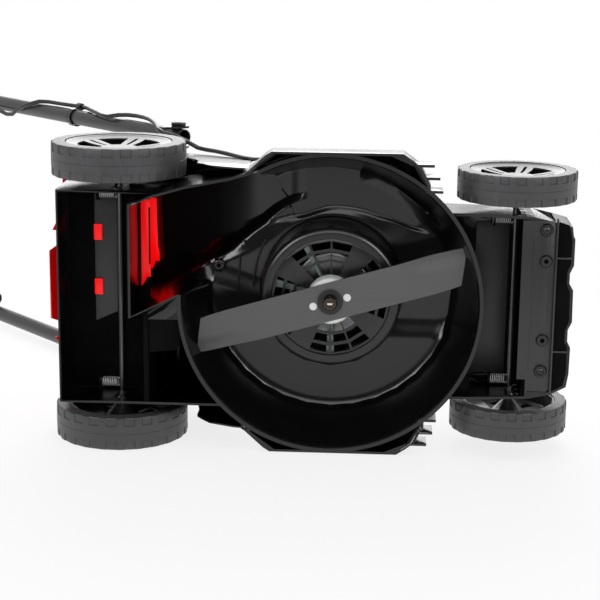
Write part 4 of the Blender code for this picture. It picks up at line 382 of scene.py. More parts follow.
def mix_finishes(colours):
    """Makes every finish of the machine once."""
    deck, wheel, accent, steel = (tuple(getattr(colours, key)) for key in ("deck", "wheel", "accent", "steel"))
    FINISHES.update({
        "black_plastic": moulded_plastic("satin_black_plastic", deck, 0.20),
        "bay_plastic": moulded_plastic("bay_plate_plastic", tinted(deck, 2.8), 0.38),
        "cover_plastic": moulded_plastic("motor_cover_plastic", tinted(deck, 1.7), 0.30),
        "dark_grey_plastic": moulded_plastic("dark_grey_plastic", wheel, 0.34),
        "tyre_plastic": moulded_plastic("tread_plastic", tinted(wheel, 1.7), 0.46, 0.05, 0.5),
        # Both red finishes glow by emission, a painted glow (0.06 and 0.75) that stands in for daylight
        # through thin plastic
        "red_plastic": painted_glow_plastic("signal_red_plastic", accent, 0.26, 0.06, 0.25),
        "lit_red": painted_glow_plastic("painted_glow_red_plastic", accent, 0.30, 0.75, 0.2),
        # Painted shade: a black darker than the deck's that mirrors nothing, for hollows and for sheets put
        # where there is only shade
        "shadow_black": shadowed_plastic("painted_shade_matt_black", tinted(deck, 0.35)),
        "white_nylon": moulded_plastic("white_nylon", (0.80, 0.82, 0.80), 0.42, 0.02, 0.1),
        "fan_plastic": moulded_plastic("fan_plastic", (0.20, 0.25, 0.235), 0.4, 0.02, 0.3),
        "blade_steel": rolled_steel("rolled_blade_steel", steel, 0.62, 0.285, 0.7),
        "axle_steel": drawn_wire("dark_bar_steel", (0.20, 0.20, 0.205), 0.38),
        "zinc_steel": drawn_wire("zinc_wire", (0.93, 0.93, 0.94), 0.24, 0.12),
        "bolt_steel": drawn_wire("oiled_bolt_steel", (0.085, 0.070, 0.060), 0.30),
        "washer_steel": drawn_wire("blued_washer_steel", (0.060, 0.058, 0.058), 0.34),
        "motor_steel": drawn_wire("cast_motor_shell", (0.34, 0.34, 0.35), 0.45),
        "tube_enamel": powder_coat("handle_powder", (0.030, 0.030, 0.032), 0.30),
        "foam": foamed_rubber("grip_foam", (0.018, 0.018, 0.019)),
        "cable_rubber": moulded_plastic("cable_sheath", (0.012, 0.012, 0.013), 0.36, 0.02, 0.2),
    })


# Mesh tools

def on_axis(points):
    """Moves points from the blade's axis into the frame."""
    return points + np.array(AXIS)


def grid_faces(rows, columns, close_rows=False, close_columns=False):
    """Quads of a grid of points, as one array of indices."""
    i = np.arange(rows if close_rows else rows - 1)[:, None]
    j = np.arange(columns if close_columns else columns - 1)[None, :]
    below, beside = (i + 1) % rows, (j + 1) % columns
    return np.stack([i * columns + j, i * columns + beside, below * columns + beside, below * columns + j],
                    -1).reshape(-1, 4)


def make_piece(name, points, faces, finish, body, replaces=(), crease=32):
    """Puts computed points and faces into an object, shades it and lets it ride on its body."""
    mesh = bpy.data.meshes.new(name)
    corners = [tuple(int(v) for v in face) for face in faces]
    mesh.from_pydata(np.asarray(points, float).reshape(-1, 3).tolist(), [], corners)
    work = bmesh.new()
    work.from_mesh(mesh)
    bmesh.ops.remove_doubles(work, verts=work.verts, dist=1e-6)
    bmesh.ops.recalc_face_normals(work, faces=work.faces)
    work.to_mesh(mesh)
    work.free()
    return settle_piece(name, mesh, finish, body, replaces, crease)


def settle_piece(name, mesh, finish, body, replaces=(), crease=32, slot=None):
    """Shades a mesh and lets its object ride on a body."""
    mesh.shade_smooth()
    mesh.set_sharp_from_angle(angle=math.radians(crease))
    piece = bpy.data.objects.new(name, mesh)
    bpy.context.scene.collection.objects.link(piece)
    mesh.materials.append(FINISHES[finish])
    if body:
        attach(piece, body)
    if replaces:
        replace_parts(piece, *replaces)
    slot or (finish if finish in SLOTS else "black_plastic")
    return piece


SLOTS = {m["slot"] for m in frame["record"]["materials"]}
BODY_OF = {node: body for body, nodes in frame["record"]["behaviour"]["bodies"].items() for node in nodes}
SLOT_OF = {s["node"]: s["material_slot"] for s in frame["record"]["subparts"]}


def fine_copy(node, finish=None, bevel=0.0, crease=36, rides=True):
    """A merged copy of a CAD node with soft edges, which stands for it; one that bends rides on no body."""
    mesh = frame["nodes"][node].data.copy()
    mesh.name = node + "_fine"
    mesh.materials.clear()
    work = bmesh.new()
    work.from_mesh(mesh)
    bmesh.ops.remove_doubles(work, verts=work.verts, dist=2e-6)
    if bevel:
        bmesh.ops.dissolve_limit(work, angle_limit=math.radians(0.5), verts=work.verts, edges=work.edges)
    work.to_mesh(mesh)
    work.free()
    finish = finish or SLOT_OF[node]
    piece = settle_piece(node + "_fine", mesh, finish, BODY_OF[node] if rides else None, (node,), crease,
                         SLOT_OF[node])
    if bevel:
        soft = piece.modifiers.new("soft_edges", "BEVEL")
        soft.width = bevel
        soft.segments = 2
        soft.limit_method = "ANGLE"
        soft.angle_limit = math.radians(crease)
        soft.harden_normals = True
    level = piece.modifiers.new("level_normals", "WEIGHTED_NORMAL")
    level.keep_sharp = True
    return piece


def turned(profile, angles, axis_point, side=1.0):
    """Points of a profile (radius, offset along X) turned about the X line through axis_point.

    radius and offset may be arrays over the angles, so a profile can change as it turns.
    """
    radius = np.array([np.broadcast_to(r, angles.shape) for r, _ in profile])
    offset = np.array([np.broadcast_to(x, angles.shape) for _, x in profile])
    points = np.empty(radius.shape + (3,))
    points[..., 0] = axis_point[0] + side * offset
    points[..., 1] = axis_point[1] + radius * np.cos(angles)
    points[..., 2] = axis_point[2] + radius * np.sin(angles)
    return points


def carried(path, outline):
    """Points of an outline (u, v) carried along a path by frames that don't twist."""
    path = np.asarray(path, float)
    step = np.gradient(path, axis=0)
    step /= np.linalg.norm(step, axis=1)[:, None]
    across = np.empty_like(path)
    start = np.array((1.0, 0, 0)) if abs(step[0][0]) < 0.9 else np.array((0, 0, 1.0))
    for k, ahead in enumerate(step):
        start = start - ahead * start.dot(ahead)
        start /= np.linalg.norm(start)
        across[k] = start
    other = np.cross(step, across)
    outline = np.asarray(outline, float)
    return path[:, None] + outline[None, :, :1] * across[:, None] + outline[None, :, 1:] * other[:, None]


def tube(name, path, radius, sides, finish, body, replaces=()):
    """A round bar along a path, closed at both ends."""
    angles = np.arange(sides) * TURN / sides
    outline = np.stack([radius * np.cos(angles), radius * np.sin(angles)], -1)
    points = carried(path, outline)
    last = (len(path) - 1) * sides
    faces = [*grid_faces(len(path), sides, False, True), range(sides)[::-1], range(last, last + sides)]
    return make_piece(name, points, faces, finish, body, replaces, 50)


def plate(name, outline, low, high, finish, body="machine", bevel=0.4 * mm):
    """A flat plate over an outline given in millimetres from the blade's axis, with soft edges."""
    work = bmesh.new()
    rings = [[work.verts.new(from_axis(x, y, z)) for x, y in outline] for z in (low, high)]
    work.faces.new(rings[0])
    work.faces.new(rings[1])
    for k in range(len(outline)):
        n = (k + 1) % len(outline)
        work.faces.new((rings[0][k], rings[0][n], rings[1][n], rings[1][k]))
    bmesh.ops.recalc_face_normals(work, faces=work.faces)
    if bevel:
        bmesh.ops.bevel(work, geom=work.edges[:], offset=bevel, segments=2, affect="EDGES", profile=0.5)
    mesh = bpy.data.meshes.new(name)
    work.to_mesh(mesh)
    work.free()
    return settle_piece(name, mesh, finish, body, (), 40)


def boxed(x0, y0, x1, y1):
    """The outline of a rectangle."""
    return ((x0, y0), (x1, y0), (x1, y1), (x0, y1))


def post(name, x, y, profile, finish, body="machine", sides=28):
    """A profile of (radius, height) in millimetres turned about an upright line at x, y."""
    angles = np.arange(sides) * TURN / sides
    radius, height = np.array(profile, float).T[..., None] * np.ones(sides)
    points = np.stack([x + radius * np.cos(angles), y + radius * np.sin(angles), height], -1) * mm
    return make_piece(name, on_axis(points), grid_faces(len(profile), sides, True, True), finish, body, (), 40)


# Wheels

# Radii of a cap's rings as shares of its seat, and the first and last ring that windows and slots go through
CAP_RADII = (0.0, 0.10, 0.20, 0.30, 0.335, 0.42, 0.50, 0.60, 0.70, 0.775, 0.80, 0.87, 0.93, 0.965, 0.985, 1.0)
CAP_OPEN = (4, 8)


def tread(name, body, centre, side, radius, width, bead, settings):
    """A tyre: its profile turned about the axle, with the shoulders let in round each notch.

    radius(angle, offset) = outer radius - notch depth where the angle lies in the notched share of its
    pitch and the offset lies within a notch's length of an edge.
    """
    pitch = TURN / settings.notches
    # Shares of a pitch at which the notch starts, is at its depth, ends and is past
    share = np.array([0.0, 0.02, 0.56, 0.60])
    angles = ((np.arange(settings.notches)[:, None] + share[None, :]) * pitch).ravel()
    widest = TURN / 96
    fine = []
    for a, b in zip(angles, np.append(angles[1:], TURN)):
        parts = max(1, int(round((b - a) / widest)))
        fine += [a + (b - a) * k / parts for k in range(parts)]
    angles = np.array(fine)
    turn = (angles / pitch) % 1.0
    let_in = ((turn > 0.01) & (turn < 0.58)).astype(float) * settings.notch_depth
    half = width / 2
    length = 0.25 * width
    edge = [(bead, 0), (radius - 3.2 * mm, 0), (radius - 1.4 * mm - let_in * 0.6, 0.15 * mm),
            (radius - 0.45 * mm - let_in, 0.75 * mm), (radius - let_in, 1.8 * mm), (radius - let_in, length),
            (radius, length + 0.25 * mm), (radius, half - 0.45 * mm),
            (radius - settings.seam_depth, half - 0.2 * mm)]
    rows = [(r, depth - half) for r, depth in edge] + [(r, half - depth) for r, depth in edge[::-1]]
    points = turned(rows, angles, centre, side)
    return make_piece(name + "_tread", points, grid_faces(len(rows), len(angles), True, True),
                      "tyre_plastic", body, (name + "_tyre",), 28)


def wheel_cap(name, body, centre, side, seat, face_x, settings):
    """A dished cap: windows and slots are left out of a turned sheet, whose two faces are then joined.

    A wedge repeats round the axle, and its columns stand at fixed shares of the half widths of window and
    slot. The sheet's height over the axle falls from the rim's edge to the middle as
    height(r) = dish * (1 - (r / seat)^2), with a raised ring round the windows.
    """
    count = settings.windows
    radii = seat * np.array(CAP_RADII)
    ends = seat * CAP_RADII[CAP_OPEN[0]], seat * CAP_RADII[CAP_OPEN[1] + 1]
    window, slot = (np.radians(np.interp(radii, ends, widths)) for widths in ((15.0, 23.0), (4.2, 2.3)))
    gap = math.pi / count
    rest = gap - window - slot
    wedge = np.stack([-window, -window / 2, 0 * window, window / 2, window, (window + gap - slot) / 2,
                      gap - slot, gap + 0 * slot, gap + slot, gap + slot + rest / 3,
                      gap + slot + rest * 2 / 3], 1)
    stations = wedge.shape[1]
    angle = (TURN / count * np.arange(count)[:, None] + wedge[:, None, :]).reshape(len(radii), -1)
    dish, sunk, thickness = 8.2 * mm, 0.9 * mm, 2.2 * mm
    height = face_x - (dish * (1 - (radii / seat) ** 2) + sunk)
    height = np.where(radii > seat * 0.95, face_x - 0.8 * mm - 1.6 * mm * (radii / seat > 0.99), height)
    top = np.stack([centre[0] + side * height[:, None] + 0 * angle, centre[1] + radii[:, None] * np.cos(angle),
                    centre[2] + radii[:, None] * np.sin(angle)], -1)
    under = top - np.array((side * thickness, 0, 0))
    rows, columns = angle.shape
    base = rows * columns
    ring = np.arange(rows - 1)
    cut = np.isin(np.arange(columns) % stations, (0, 1, 2, 3, 6, 7))
    solid = ~(((ring >= CAP_OPEN[0]) & (ring <= CAP_OPEN[1]))[:, None] & cut)
    quads = grid_faces(rows, columns, False, True)
    faces = [*quads[solid.ravel()], *(quads[solid.ravel()][:, ::-1] + base)]
    beside = {(0, 1): np.vstack([np.ones((1, columns), bool), solid[:-1]]), (1, 2): np.roll(solid, -1, 1),
              (2, 3): np.vstack([solid[1:], np.zeros((1, columns), bool)]), (3, 0): np.roll(solid, 1, 1)}
    for (p, q), filled in beside.items():
        a, b = quads[(solid & ~filled).ravel()][:, (p, q)].T
        faces += [*np.stack([b, a, a + base, b + base], 1)]
    return make_piece(name + "_cap_fine", np.concatenate([top.reshape(-1, 3), under.reshape(-1, 3)]), faces,
                      "dark_grey_plastic", body, (name + "_cap",), 30)


# Cutting drum

# Lines of the drum in millimetres from the blade's axis: where the slope beside the channel starts, the ridge
# that it ends in, the deck's own wall beside the channel, and the outline of the chute
BROW = ((-15, 171), (-24, 146), (-32, 130), (-43, 105), (-54, 84), (-68, 66), (-84, 44), (-94, 10), (-94, -12),
        (-86, -40), (-72, -62), (-56, -78), (-36, -90))
RIDGE = ((-45, 158), (-61, 120), (-76, 92), (-88, 64), (-93, 34), (-104, 5), (-103, -21), (-93, -59),
         (-80, -97), (-72, -125))
CHANNEL_SIDE = ((-80, -140), (-84, -112), (-106, -45), (-112, 0), (-108, 45), (-78, 86), (-42, 128),
                (-14, 180))
CHUTE_SIDE = ((-163, 83), (-151, 122), (-140, 176), (-127, 220), (-117, 243), (19, 243), (-3, 200), (-9, 187))
# Height of the channel's roof at stations towards the rear, and that of the ridge
CHANNEL_Y = (-122, -52, 0, 45, 88, 140, 195, 243)
CHANNEL_TOP = (114, 118, 127, 131, 140, 160, 184, 200)
RIDGE_HEIGHT = 121.4 * mm
# The ring wall: its rim as (radius, height) in millimetres, its inner radius at the rim's height, and the
# angles in degrees between which it opens into the chute, and at which the channel ends
RIM = ((186.4, 12.4), (186.1, 11.6), (181.6, 11.6), (180.9, 12.4))
RIM_HEIGHT = 12 * mm
RING_RADIUS = 180.8 * mm
CHUTE_FROM, CHUTE_TO, CHANNEL_END = 93, 152, 243
# The roof's opening round the motor, and how far its skin stands clear of the deck
MOTOR_HOLE = 92 * mm
CLEAR = 1.2 * mm


def eased(value):
    """0 up to 0, 1 from 1, with level ends."""
    value = np.clip(value, 0, 1)
    return value * value * (3 - 2 * value)


def softened(at, stations, values, reach):
    """A line through stations, averaged over a reach to both sides so that its corners are round."""
    shifts = np.linspace(-reach, reach, 25)
    weights = np.cos(shifts / reach * math.pi / 2) ** 2
    weights /= weights.sum()
    return sum(w * np.interp(at + s, stations, values) for w, s in zip(weights, shifts))


def ring_distance(turn, outline):
    """The radius at which a line round the drum is crossed at an angle, its corners rounded."""
    outline = np.array(outline) * mm
    at = np.arctan2(outline[:, 1], outline[:, 0]) % TURN
    order = np.argsort(at)
    return softened(turn, at[order], np.hypot(outline[:, 0], outline[:, 1])[order], 0.10)


def drum_roof(x, y, settings):
    """Height of the drum's roof over a point, both from the blade's axis in metres.

    height = low roof + step(ramp) * (high roof - low roof) within the brow. From the brow a slope climbs to
    the ridge, linear in the radius, with a steep last part, and beyond the ridge lies the channel's floor.
    Where the deck's own wall stands between the two, the slope stays under it until it is passed.
    """
    radius, turn = np.hypot(x, y), np.arctan2(y, x) % TURN
    # The ramp falls over 30 mm along X and 100 mm along Y, the latter moved back where x is under 30 mm
    behind = 3 * np.maximum(30 * mm - x, 0)
    ramp = eased((66 * mm - x) / (30 * mm)) * eased((60 * mm - y + behind) / (100 * mm))
    inner = settings.low_roof + ramp * (settings.high_roof - settings.low_roof)
    brow, ridge, side = (ring_distance(turn, line) for line in (BROW, RIDGE, CHANNEL_SIDE))
    within = eased((turn - math.radians(CHUTE_FROM)) / 0.10) * eased((math.radians(CHANNEL_END) - turn) / 0.20)
    channel = softened(y, np.array(CHANNEL_Y) * mm, np.array(CHANNEL_TOP) * mm, 26 * mm) - CLEAR
    rear = eased((y - 30 * mm) / (30 * mm))
    floor = np.maximum(channel, RIDGE_HEIGHT) * rear + RIDGE_HEIGHT * (1 - rear)
    # The last 5 mm before the ridge are steep, wherever the deck's wall lies beyond the ridge
    steep = 5 * mm
    stepped = eased((side - ridge) / (8 * mm) + 0.3)
    slope = np.maximum(np.minimum(ridge, side) - steep * stepped - brow, steep)
    early = np.clip((radius - brow) / slope, 0, 1)
    late = np.clip((radius - side - 1.5 * mm) / np.maximum(ridge - side, 9 * mm), 0, 1)
    step = settings.step * np.clip((radius - ridge + steep) / steep, 0, 1) * stepped
    lower = RIDGE_HEIGHT - settings.step * stepped
    return inner + within * (early * (lower - inner) + step + late * (floor - RIDGE_HEIGHT))


def sheet(name, points, push, finish, body, replaces=(), crease=32, around=True):
    """A thin closed skin: a grid of points and the same grid pushed back, joined round their borders."""
    rows, columns = points.shape[:2]
    base = rows * columns
    at = np.arange(base).reshape(rows, columns)
    first = grid_faces(rows, columns, False, around)
    faces = [*first, *(first[:, ::-1] + base)]
    borders = [(at[0], -1), (at[-1], 1)] + ([] if around else [(at[:, 0], 1), (at[:, -1], -1)])
    for line, way in borders:
        a, b = ((line, np.roll(line, -1)) if around else (line[:-1], line[1:]))[::way]
        faces += [*np.stack([a, b, b + base, a + base], 1)]
    both = np.concatenate([points.reshape(-1, 3), (points + push).reshape(-1, 3)])
    return make_piece(name, both, faces, finish, body, replaces, crease)


def wall_foot(angles, settings):
    """The fillet at the foot of the ring wall and the radius at which it meets the roof, by angle.

    fillet = full fillet * (1 - 0.75 * upper), upper being 1 along the channel and 0 elsewhere.
    """
    turn = angles % TURN
    start, stop = math.radians(80), math.radians(266)
    upper = eased((turn - start) / 0.3) * eased((stop - turn) / 0.5)
    fillet = settings.fillet * (1 - 0.75 * upper)
    tilt = math.atan(settings.lean)
    foot = settings.low_roof - fillet * (1 + math.sin(tilt))
    centre = RING_RADIUS - settings.lean * (foot - RIM_HEIGHT) - fillet * math.cos(tilt)
    return fillet, foot, centre


def drum_wall(settings):
    """The ring wall from its rim over the fillet to the roof, from the chute's right side round to its left.

    A profile (radius, height) is turned about the blade's axis; the roof's rise over the low roof is added
    with a weight that falls to nothing at the foot of the wall.
    """
    angles = np.radians(np.linspace(CHUTE_TO, 360 + CHUTE_FROM, 300))
    low, lean = settings.low_roof, settings.lean
    fillet, foot, centre = wall_foot(angles, settings)
    tilt = math.atan(lean)
    bends = np.linspace(0, 1, 11)[1:] * (math.pi / 2 + tilt) - tilt
    even = np.ones_like(angles)
    profile = [(r * mm * even, z * mm * even) for r, z in RIM]
    above = 20 * mm
    rise = [above + (foot - above) * k / 7 for k in range(8)]
    profile += [(RING_RADIUS - lean * (z - RIM_HEIGHT), z) for z in rise]
    profile += [(centre + fillet * math.cos(b), low - fillet + fillet * math.sin(b)) for b in bends]
    profile += [(centre - 1.5 * mm, low * even), (centre - 3 * mm, low * even)]
    radius, height = np.array([p[0] for p in profile]), np.array([p[1] for p in profile])
    x, y = radius * np.cos(angles), radius * np.sin(angles)
    fixed = 30 * mm
    weight = np.clip((height - fixed) / (low - fixed), 0, 1)
    height = height + weight * (drum_roof(x, y, settings) - low)
    points = on_axis(np.stack([x, y, height], -1))
    outward = np.stack([np.cos(angles), np.sin(angles), 0 * angles], -1)[None] * np.ones((len(profile), 1, 1))
    # The skin is pushed back by 0.9 mm behind the wall, up by 0.5 mm at the rim, and both ways at the fillet
    push = outward * 0.9 * mm
    push[:len(RIM)] = (0, 0, 0.5 * mm)
    fillet_starts = len(RIM) + len(rise)
    push[fillet_starts:] = outward[fillet_starts:] * 0.4 * mm + np.array((0, 0, 0.6 * mm))
    return sheet("drum_wall", points, push, "black_plastic", "machine", (), 40, False)


def drum_ceiling(settings):
    """The drum's roof round the motor: a grid in angle and radius that stretches into the chute."""
    angles = np.radians(np.linspace(0, 360, 420, endpoint=False))
    side = np.array(CHUTE_SIDE) * mm
    side_angle, side_radius = np.arctan2(side[:, 1], side[:, 0]), np.hypot(side[:, 0], side[:, 1])
    order = np.argsort(side_angle)
    far = np.interp(angles, side_angle[order], side_radius[order]) - 1.5 * mm
    reach = wall_foot(angles, settings)[2] - 3 * mm
    in_chute = (angles > math.radians(CHUTE_FROM + 0.1)) & (angles < math.radians(CHUTE_TO))
    far = np.where(in_chute, far, reach)
    share = np.concatenate([np.linspace(0, 0.30, 14)[:-1], np.linspace(0.30, 1, 64)])[:, None]
    radius = MOTOR_HOLE + share * (far[None, :] - MOTOR_HOLE)
    x, y = radius * np.cos(angles), radius * np.sin(angles)
    height = drum_roof(x, y, settings)
    return sheet("drum_ceiling", on_axis(np.stack([x, y, height], -1)), np.array((0, 0, 0.6 * mm)),
                 "black_plastic", "machine", (), 50)


# Bays

def cover_shoulder():
    """The motor cover's rounded edge: an arc of 7 mm from its flat face to its wall, turned about the axis.

    radius = 80 mm + 7.4 sin(a), height = 64.6 mm - 7.2 cos(a), then up the wall to the roof.
    """
    bends = np.linspace(0, math.pi / 2, 9)
    outer = [(80 + 7.4 * math.sin(a), 64.6 - 7.2 * math.cos(a)) for a in bends]
    profile = [(74, 58.2), (74.3, 57.4)] + outer + [(88.6, 90), (90.6, 115.6), (86, 115.6), (84, 70), (78, 62)]
    post("motor_cover_shoulder", 0, 0, profile, "cover_plastic", "machine", 120)
    boss = ((2.6, 112), (2.6, 107), (3.0, 106.4), (6.2, 106.4), (7.2, 107.2), (8.2, 112))
    post("cover_boss", -27, 144, boss, "black_plastic")
    # A dark disc of painted shade fills the boss's hole
    post("cover_boss_hole", -27, 144, ((0, 108), (2.7, 108), (2.7, 112), (0, 112)), "shadow_black")
    ribs = ((1.3, ((-62, 84), (-50, 90), (-33, 96), (-15, 99), (2, 100))),
            (1.1, ((-41, 118), (-30, 118), (-12, 119), (6, 119))))
    for k, (radius, line) in enumerate(ribs):
        line = np.array(line, float)
        share = np.linspace(0, len(line) - 1, 40)
        bent = np.stack([softened(share, np.arange(len(line)), line[:, i], 0.8) for i in (0, 1)], -1)
        path = on_axis(np.concatenate([bent, np.full((40, 1), 111.4)], 1) * mm)
        tube("cover_rib_%d" % k, path, radius * mm, 10, "cover_plastic", "machine")


def blade_points(settings):
    """The blade as a grid: s along it from -1 to 1, t across it from -1 to 1, and its other face.

    The ends are cut askew, x = s * length / 2 + skew * t * s^6. Towards the ends the trailing edge turns up
    by wing * bend(s) * bend(t), bend being a smooth step.
    """
    s = np.linspace(-1, 1, 97)[:, None]
    t = np.linspace(-1, 1, 21)[None, :]
    half = settings.length / 2
    along = s * half + settings.skew * t * np.abs(s) ** 6
    across = t * settings.width / 2 * (1 - 0.10 * np.abs(s) ** 8)
    trailing = eased((t * np.sign(s) * settings.wing_side + 0.05) / 0.9)
    wing = eased((np.abs(s) - 0.52) / 0.30) * trailing * settings.wing
    sharp = 1 - eased((np.abs(s) - 0.45) / 0.05) * eased((-t * np.sign(s) * settings.wing_side - 0.55) / 0.45)
    return along, across + 0 * s, wing, np.maximum(sharp, 0.15)


def forged_blade(settings):
    """Lays the blade's grid on the hub, turned to where the photograph shows it."""
    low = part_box("blade")[0]
    along, across, wing, thick = blade_points(settings)
    turn = settings.turn
    x = along * math.sin(turn) + across * math.cos(turn)
    y = along * math.cos(turn) - across * math.sin(turn)
    lower = on_axis(np.stack([x, y, low.z + wing], -1))
    push = np.stack([0 * x, 0 * x, settings.thickness * thick], -1)
    sheet("blade_rolled", lower, push, "blade_steel", "cutter", ("blade",), 30, False)
    socket = ((0, 22.6), (3.9, 22.6), (4.3, 21.4), (7.6, 21.4), (8.6, 22.4), (8.9, 24.6), (8.9, 27), (0, 27))
    post("blade_bolt_socket", 0, 0, socket, "bolt_steel", "cutter")
    # A bright bar on the bolt's socket is a painted glint
    plate("blade_bolt_painted_glint", boxed(-1.1, -3.3, 1.1, 3.3), 22.0, 23.0, "zinc_steel", "cutter", 0.3 * mm)
    face = low.z / mm
    peg = ((0, face - 0.9), (4.2, face - 0.9), (4.8, face - 0.3), (4.8, face + 0.5), (0, face + 0.5))
    for letter, out in (("a", -21.5), ("b", 21.5)):
        post("blade_peg_" + letter, out * math.sin(turn), out * math.cos(turn), peg, "white_nylon", "cutter")


def nose_details():
    """Plates, screw bosses and ribs of the nose, seen from below."""
    plate("nose_plate_rear", ((-94, -179), (-94, -220), (100, -220), (100, -176)), 90.8, 92.6, "bay_plastic")
    plate("nose_plate_front", ((-109, -229.5), (-109, -267), (-98, -270), (98, -270), (103, -266), (103, -240),
                               (88, -240), (88, -229.5)), 18.4, 20.6, "bay_plastic")
    plate("nose_plate_step", ((-105, -243), (-105, -262), (86, -262), (86, -250), (78, -243)), 17.8, 18.6,
          "bay_plastic")
    plate("nose_rib", ((-112, -269.6), (-112, -271.8), (104, -271.8), (104, -269.6)), 15.6, 20.4,
          "dark_grey_plastic")
    # The bumper's hollow is a sheet in painted shade
    plate("bumper_hollow", ((-108, -272.4), (-104, -285), (-86, -289), (-57, -289), (-47, -285), (-32, -285),
                            (-22, -289.4), (14, -290), (26, -285.6), (40, -285.6), (48, -289.4), (80, -289),
                            (95, -286), (103, -272.4)), 18.9, 20.6, "shadow_black", bevel=0.2 * mm)
    for k, x in enumerate((-64, 52)):
        plate("bumper_rib_%d" % k, boxed(x - 1.1, -289, x + 1.1, -271), 17.2, 20.6, "dark_grey_plastic",
              bevel=0.3 * mm)
    boss = ((0, 15.4), (4.4, 15.4), (4.8, 14.4), (6.8, 14.4), (7.4, 15.2), (8.6, 20), (0, 20))
    screw = ((0, 14.9), (1.3, 14.9), (1.5, 13.9), (3.4, 14.2), (4.1, 15), (4.1, 17), (0, 17))
    for k, (x, y) in enumerate(((-98, -258.1), (76.8, -257.8))):
        post("nose_screw_boss_%d" % k, x, y, boss, "black_plastic")
        post("nose_screw_%d" % k, x, y, screw, "washer_steel")
    boss = ((2.6, 19.4), (2.6, 14.6), (3.0, 14.2), (6.4, 14.2), (7.0, 14.8), (8.4, 20), (2.6, 20))
    # Each hole is a dark disc of painted shade
    hole = ((0, 17.4), (2.7, 17.4), (2.7, 19.6), (0, 19.6))
    for k, (x, y) in enumerate(((-60.2, -258.7), (37.8, -258.4))):
        post("nose_hole_boss_%d" % k, x, y, boss, "black_plastic")
        post("nose_hole_%d" % k, x, y, hole, "shadow_black")


def rear_details():
    """The rear bay's roof in painted shade with its grey plate and red tabs, and dark sheets of painted shade
    that close the left pocket.
    """
    # The bay's roof is a sheet in painted shade
    plate("bay_roof", boxed(-130, 229, 130, 331), 90.4, 91.4, "shadow_black", bevel=0.1 * mm)
    plate("bay_plate", ((-124, 267.5), (31, 270.5), (44, 299), (-128, 299)), 88.6, 90.2, "bay_plastic")
    # The tabs and the chute's lip glow by emission, a painted glow
    for k, x in enumerate((-71, -1)):
        plate("bay_tab_%d" % k, boxed(x - 10, 289, x + 10, 299.5), 84.4, 88.8, "lit_red", "machine", 1.2 * mm)
    plate("chute_lip", ((-113, 228.4), (-103, 228.4), (-103, 231), (-30, 231), (-30, 228.4), (-14, 228.4),
                        (-14, 233), (-8, 236), (-2, 240.5), (-113, 240.5)), 89.2, 91.0, "lit_red", "machine",
          0.5 * mm)
    # Dark sheets in painted shade close the left pocket: a floor and the partition's edge and side
    plate("pocket_painted_shade", ((20, 222.6), (24, 219), (1, 191), (22, 186), (57, 184), (64, 190), (67, 222.6)),
          26, 27, "shadow_black", bevel=0.1 * mm)
    plate("partition_edge", boxed(17, 223.2, 131, 229.2), 24.2, 30, "shadow_black")
    plate("partition_side", boxed(17, 223.4, 130.6, 224.2), 26, 150, "shadow_black", bevel=0.1 * mm)


def flap_inside():
    """The flap's red inner hood in the mouth of the chute, with a stepped front edge, glowing by emission as
    painted light.
    """
    outline = ((-113, 262), (-113, 240), (-98, 240), (-98, 234.5), (-34, 233), (-26, 231), (-14, 231),
               (-14, 236), (-4, 240), (-4, 262))
    plate("flap_inside", outline, 187.5, 190.5, "lit_red", "rear_flap", 0.6 * mm)


# Operators

class MOWER_OT_bays(bpy.types.Operator):
    """Fit out the nose, the rear bay and the chute's mouth."""
    bl_idname = "mower.bays"
    bl_label = "Bays"

    def execute(self, context):
        nose_details()
        rear_details()
        flap_inside()
        return {"FINISHED"}


class MOWER_OT_drum(bpy.types.Operator):
    """Line the cutting drum: ring wall, roof and the rising channel."""
    bl_idname = "mower.drum"
    bl_label = "Drum"

    def execute(self, context):
        settings = context.scene.mower_drum
        drum_wall(settings)
        drum_ceiling(settings)
        return {"FINISHED"}


class MOWER_OT_finishes(bpy.types.Operator):
    """Make the machine's finishes."""
    bl_idname = "mower.finishes"
    bl_label = "Finishes"

    def execute(self, context):
        mix_finishes(context.scene.mower_colours)
        return {"FINISHED"}


class MOWER_OT_blade(bpy.types.Operator):
    """Roll the blade and round off the motor's cover."""
    bl_idname = "mower.blade"
    bl_label = "Blade and cover"

    def execute(self, context):
        forged_blade(context.scene.mower_blade)
        cover_shoulder()
        return {"FINISHED"}


class MOWER_OT_wheels(bpy.types.Operator):
    """Draw the treads, rims and caps of the four wheels."""
    bl_idname = "mower.wheels"
    bl_label = "Wheels"

    def execute(self, context):
        settings = context.scene.mower_wheels
        for end in ("front", "rear"):
            for hand, side in (("left", 1), ("right", -1)):
                name = f"{end}_{hand}"
                body = name + "_wheel"
                low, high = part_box(name + "_tyre")
                centre = (low + high) / 2
                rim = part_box(name + "_rim")
                seat = (rim[1].z - rim[0].z) / 2
                radius, width = (high.z - low.z) / 2, high.x - low.x
                tread(name, body, centre, side, radius, width, seat + 0.3 * mm, settings)
                face = high.x if side > 0 else -low.x
                wheel_cap(name, body, (0, centre.y, centre.z), side, seat, face, settings)
                fine_copy(name + "_rim", crease=40)
        return {"FINISHED"}


